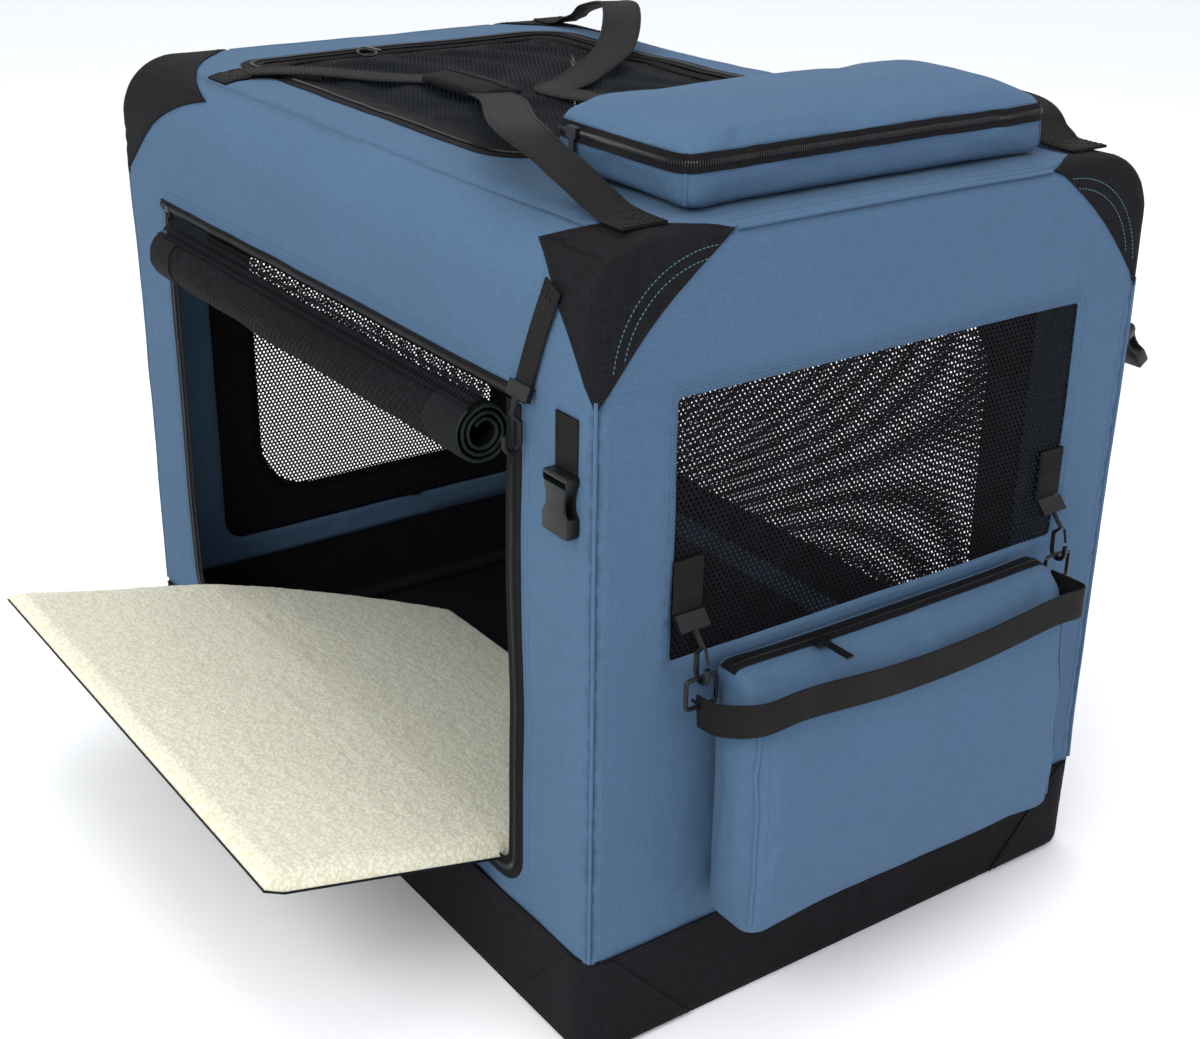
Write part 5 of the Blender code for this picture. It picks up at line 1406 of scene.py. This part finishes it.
# Heights, shares of the depth at the back and the front, and corner radii of the bag's rings
BAG_RINGS = ((0.0, 0.16, 0.84, 0.010), (0.03, 0.03, 0.97, 0.016), (0.25, 0.0, 1.0, 0.016))
BAG_RINGS += ((0.55, 0.0, 0.96, 0.016), (0.80, 0.0, 0.84, 0.014), (0.93, 0.0, 0.72, 0.012))
BAG_RINGS += ((1.0, 0.04, 0.50, 0.008),)


def front_bag():
    """The bag on the front: a slack box with side gussets, a heavy foot and a zipper along its top."""
    (x0, z0), (x1, z1) = BAG_LOW, BAG_HIGH
    depth = BAG_BACK - BAG_FRONT
    rings = []
    for share, back, front, radius in BAG_RINGS:
        inset = 0.004 if share in (0.0, 1.0) else 0.0015
        low, high = (x0 + inset, BAG_BACK - depth * front), (x1 - inset, BAG_BACK - depth * back - 0.0006)
        ring = rounded(low, high, min(radius, (high[1] - low[1]) * 0.45))
        rings.append([(x, y, z0 + (z1 - z0) * share) for x, y in ring])
    form = lofted("bag_cloth", rings, BLUE)
    cloth_blown(form, 2.0, 0.003)
    for v in form.data.vertices:
        x, y, z = v.co
        long = noise.noise(Vector((x * 9, z * 13, 4)))
        crease = noise.noise(Vector((x * 24 + z * 10, z * 20, 9)))
        fine = noise.noise(Vector((x * 60, z * 45, y * 40)))
        push = 0.0028 * long + 0.0014 * crease + 0.0004 * fine
        push *= min(1.0, max(0.0, (BAG_BACK - y) / depth * 1.6 - 0.2))
        v.co.y = min(BAG_BACK - 0.0004, max(BAG_FRONT - 0.002, y - push))
        v.co.z = max(z0 - 0.001, min(z1 + 0.0005, z + push * 0.3))
    tree = finished(form, BLUE, "bag", ["front_bag"])
    y = BAG_BACK - depth * 0.30
    line, ways = dropped(tree, [(x, y, z1 + 0.05) for x in np.arange(x0 + 0.006, x1 - 0.005, 0.004)], 0.0008)
    zipper("bag_zipper_tape", line, softened(ways, 4), 0.016, 0.0009, "bag")
    for side, x_side in SIDES:
        y = BAG_FRONT + 0.004 + depth * 0.02
        edge = [(0.157 * x_side, y, z) for z in np.arange(z0 + 0.012, z1 - 0.020, 0.004)]
        line, ways = hugging(tree, edge, 0.0005)
        strip(f"bag_welt_{side}", line, (0.0034, 0.0022), ways, BLUE, "bag")
        line = [(0.148 * x_side, BAG_FRONT, z) for z in np.arange(z0 + 0.014, z1 - 0.026, 0.004)]
        seam("blue_stitches", *hugging(tree, line, ROW_LIFT), "bag")
    line = [(x, BAG_FRONT + 0.004, z0 + 0.010) for x in np.arange(x0 + 0.012, x1 - 0.010, 0.004)]
    seam("blue_stitches", *hugging(tree, line, ROW_LIFT), "bag")
    for side, x_side in SIDES:
        points = ((FITTING_X, STRAP_RINGS, 0.2835), (0.170, -0.4012, 0.2790), (0.1605, -0.4012, 0.2770))
        path = curve_points([(x * x_side, y, z) for x, y, z in points], 4)
        facing = facing_along(path, UP)
        strip(f"bag_side_tab_{side}", path, (0.022, 0.0020), facing, WEBBING, "bag")


def flattened(half_wide, half_deep, power=2.6, sides=28):
    """Points round a soft flattened section."""
    turns = (math.tau * k / sides for k in range(sides))
    return [
        tuple(half * math.copysign(abs(r) ** (2 / power), r) for half, r in zip((half_wide, half_deep), pair))
        for pair in ((math.cos(t), math.sin(t)) for t in turns)
    ]


def grip_wrap():
    """The padded wrap that holds both carrying straps together, closed along its top with a flap."""
    middle, half_long = Vector((-0.068, 0.0675, 0.6178)), 0.049
    rings = []
    for share in np.linspace(-1, 1, 15):
        section = flattened(0.0238 * (1 - 0.10 * abs(share) ** 4), 0.0056 * (1 - 0.35 * abs(share) ** 6))
        rings.append([tuple(middle + Vector((u, half_long * share, w))) for u, w in section])
    form = lofted("grip_wrap", rings, BLACK)
    cloth_blown(form, 2.0, 0.0015, frames=12, voxel=0.003)
    for v in form.data.vertices:
        x, y, z = v.co
        v.co += v.normal * 0.0007 * noise.noise(Vector((x * 70, y * 40, z * 60)))
    tree = finished(form, BLACK, "left_handle", ["handle_grip"])
    for offset in (0.006, -0.0205, 0.0205):
        reach = np.arange(0.004 - half_long, half_long - 0.003, 0.004)
        line, ways = dropped(tree, [middle + Vector((offset, y, 0.03)) for y in reach], 0.0005)
        if offset == 0.006:
            size = (0.0050, 0.0010)
            strip("grip_wrap_flap_edge", line, size, ways, BLACK, "left_handle")
        seam("black_stitches", line, ways, "left_handle")


def zipper_pulls():
    """Zipper sliders with their hanging tabs: doorway, far door, and the round pull on the roof."""
    for name, spot, out, down, body, keep in (
        ("doorway", (-0.2563, 0.281, 0.4905), -ACROSS, (0, 0.15, -1), "base", KEEP),
        ("rear_door", (0.020, 0.3775, 0.1165), FRONTWARD, (1, 0, -0.25), "rear_door", KEEP),
        ("roof_door", (-0.0524, 0.2890, 0.6130), UP, (0.35, -1, 0), "roof", None),
    ):
        spot, down, name = Vector(spot), Vector(down).normalized(), name + "_zipper_pull"
        path = [spot - down * 0.004, spot + out * 0.0008, spot + down * 0.005]
        slider = swept(name + "_slider", path, strap_section(0.0085, 0.0034), out, DARK_METAL)
        reach = np.linspace(0.002, 0.024, 8)
        path = [spot + down * t + out * (0.0026 + 0.0008 * math.sin(t * 160)) for t in reach]
        tab = swept(name + "_tab", path, strap_section(0.0048, 0.0012), out, DARK_METAL)
        carry(joined(name, [slider, tab]), body, keep=keep)
    middle, tilt = Vector((-0.0640, 0.2560, 0.6165)), 0.0015 / 0.0085
    loop = [middle + Vector((x, y, y * tilt)) for x, y in arc((0, 0), 0.0085, 0, 360, 24)[:-1]]
    section = arc((0, 0), 0.0012, 0, 360, 8)[:-1]
    ring = swept("roof_door_pull_ring", loop, section, UP, DARK_METAL, closed=True)
    carry(ring, "roof")


def hardware():
    """Steel and cast fittings, in their modelled form. The rear posts keep the model's colour too."""
    for name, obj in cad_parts.items():
        material = None
        if name == "base_ring":
            material = BLACK
        elif name.startswith(("bracket_", "post_front_", "front_upper_hoop", "rear_upper_hoop", "roof_rod_")):
            material = STEEL
        elif any(word in name for word in ("hook", "gate", "ring", "slider")):
            material = DARK_METAL
        elif name == "floor_board":
            material = BOARD
        if material:
            obj.data.materials.clear()
            obj.data.materials.append(material)


def studio():
    """A pale floor, a white surround and soft lamps, as for a catalogue picture."""
    made, tree, shader = surface("matt_white_paper", {"Roughness": 0.9})
    place = {"Vector": add(tree, "ShaderNodeTexCoord", out="Object")}
    grain = add(tree, "ShaderNodeTexNoise", {"Scale": 900.0, "Detail": 2.0}, place, "Fac")
    paint(tree, shader, grain, [(0.3, "FBFBFB"), (0.7, "FEFEFE")])
    relief(tree, shader, grain, 0.0001, 0.3)
    corners = [(-6, -6, -0.0004), (6, -6, -0.0004), (6, 6, -0.0004), (-6, 6, -0.0004)]
    put("studio_floor", corners, [(0, 1, 2, 3)], made, np.zeros((4, 2)))
    scene = bpy.context.scene
    scene.world = bpy.data.worlds.new("studio_surround")
    scene.world.use_nodes = True
    tree = scene.world.node_tree
    tree.nodes.clear()
    path = add(tree, "ShaderNodeLightPath").node.outputs
    seen = path["Is Camera Ray"]
    for ray in ("Is Glossy Ray", "Is Transmission Ray"):
        seen = add(tree, "ShaderNodeMath", {"operation": "MAXIMUM"}, {0: seen, 1: path[ray]})
    white = add(tree, "ShaderNodeBackground", {"Color": (1.0, 1.0, 1.0, 1.0), "Strength": 1.0})
    sky = add(tree, "ShaderNodeBackground", {"Color": (0.93, 0.96, 1.0, 1.0), "Strength": 0.95})
    both = add(tree, "ShaderNodeMixShader", links={0: seen, 1: sky, 2: white})
    add(tree, "ShaderNodeOutputWorld", links={"Surface": both})
    for name, spot, size, power, tint in (
        ("key_softbox", (-2.6, -1.2, 2.4), 1.9, 74.0, (1.0, 1.0, 0.98)),
        ("side_softbox", (0.9, -2.9, 1.6), 1.6, 18.0, (1.0, 0.88, 1.0)),
        ("top_softbox", (0.1, 0.5, 2.9), 2.2, 26.0, (1.0, 1.0, 1.0)),
    ):
        data = bpy.data.lights.new(name, "AREA")
        data.shape, data.size, data.energy, data.color = "SQUARE", size, power, tint
        lamp = linked(name, data)
        lamp.location = spot
        lamp.rotation_euler = (Vector((0, 0, 0.3)) - Vector(spot)).to_track_quat("-Z", "Y").to_euler()
    scene.view_settings.view_transform = "Standard"


def main():
    """The crate in its cloth, in the order that its pieces are named."""
    cloth_walls()
    base_band()
    foot_patches()
    for (end, y_side), along in zip(ENDS, (0.084, 0.165)):
        for side, x_side in SIDES:
            corner_patch(f"{end}_{side}", x_side, y_side, along)
    window_and_doors()
    door_roll()
    edge_seams()
    carrying_handles()
    grip_wrap()
    zipper_pulls()
    hanging_straps()
    buckle("left", -1, 0.0)
    buckle("right", 1, 35.0)
    fleece_mat()
    top_pouch()
    front_bag()
    make_seams()
    hardware()
    studio()


main()
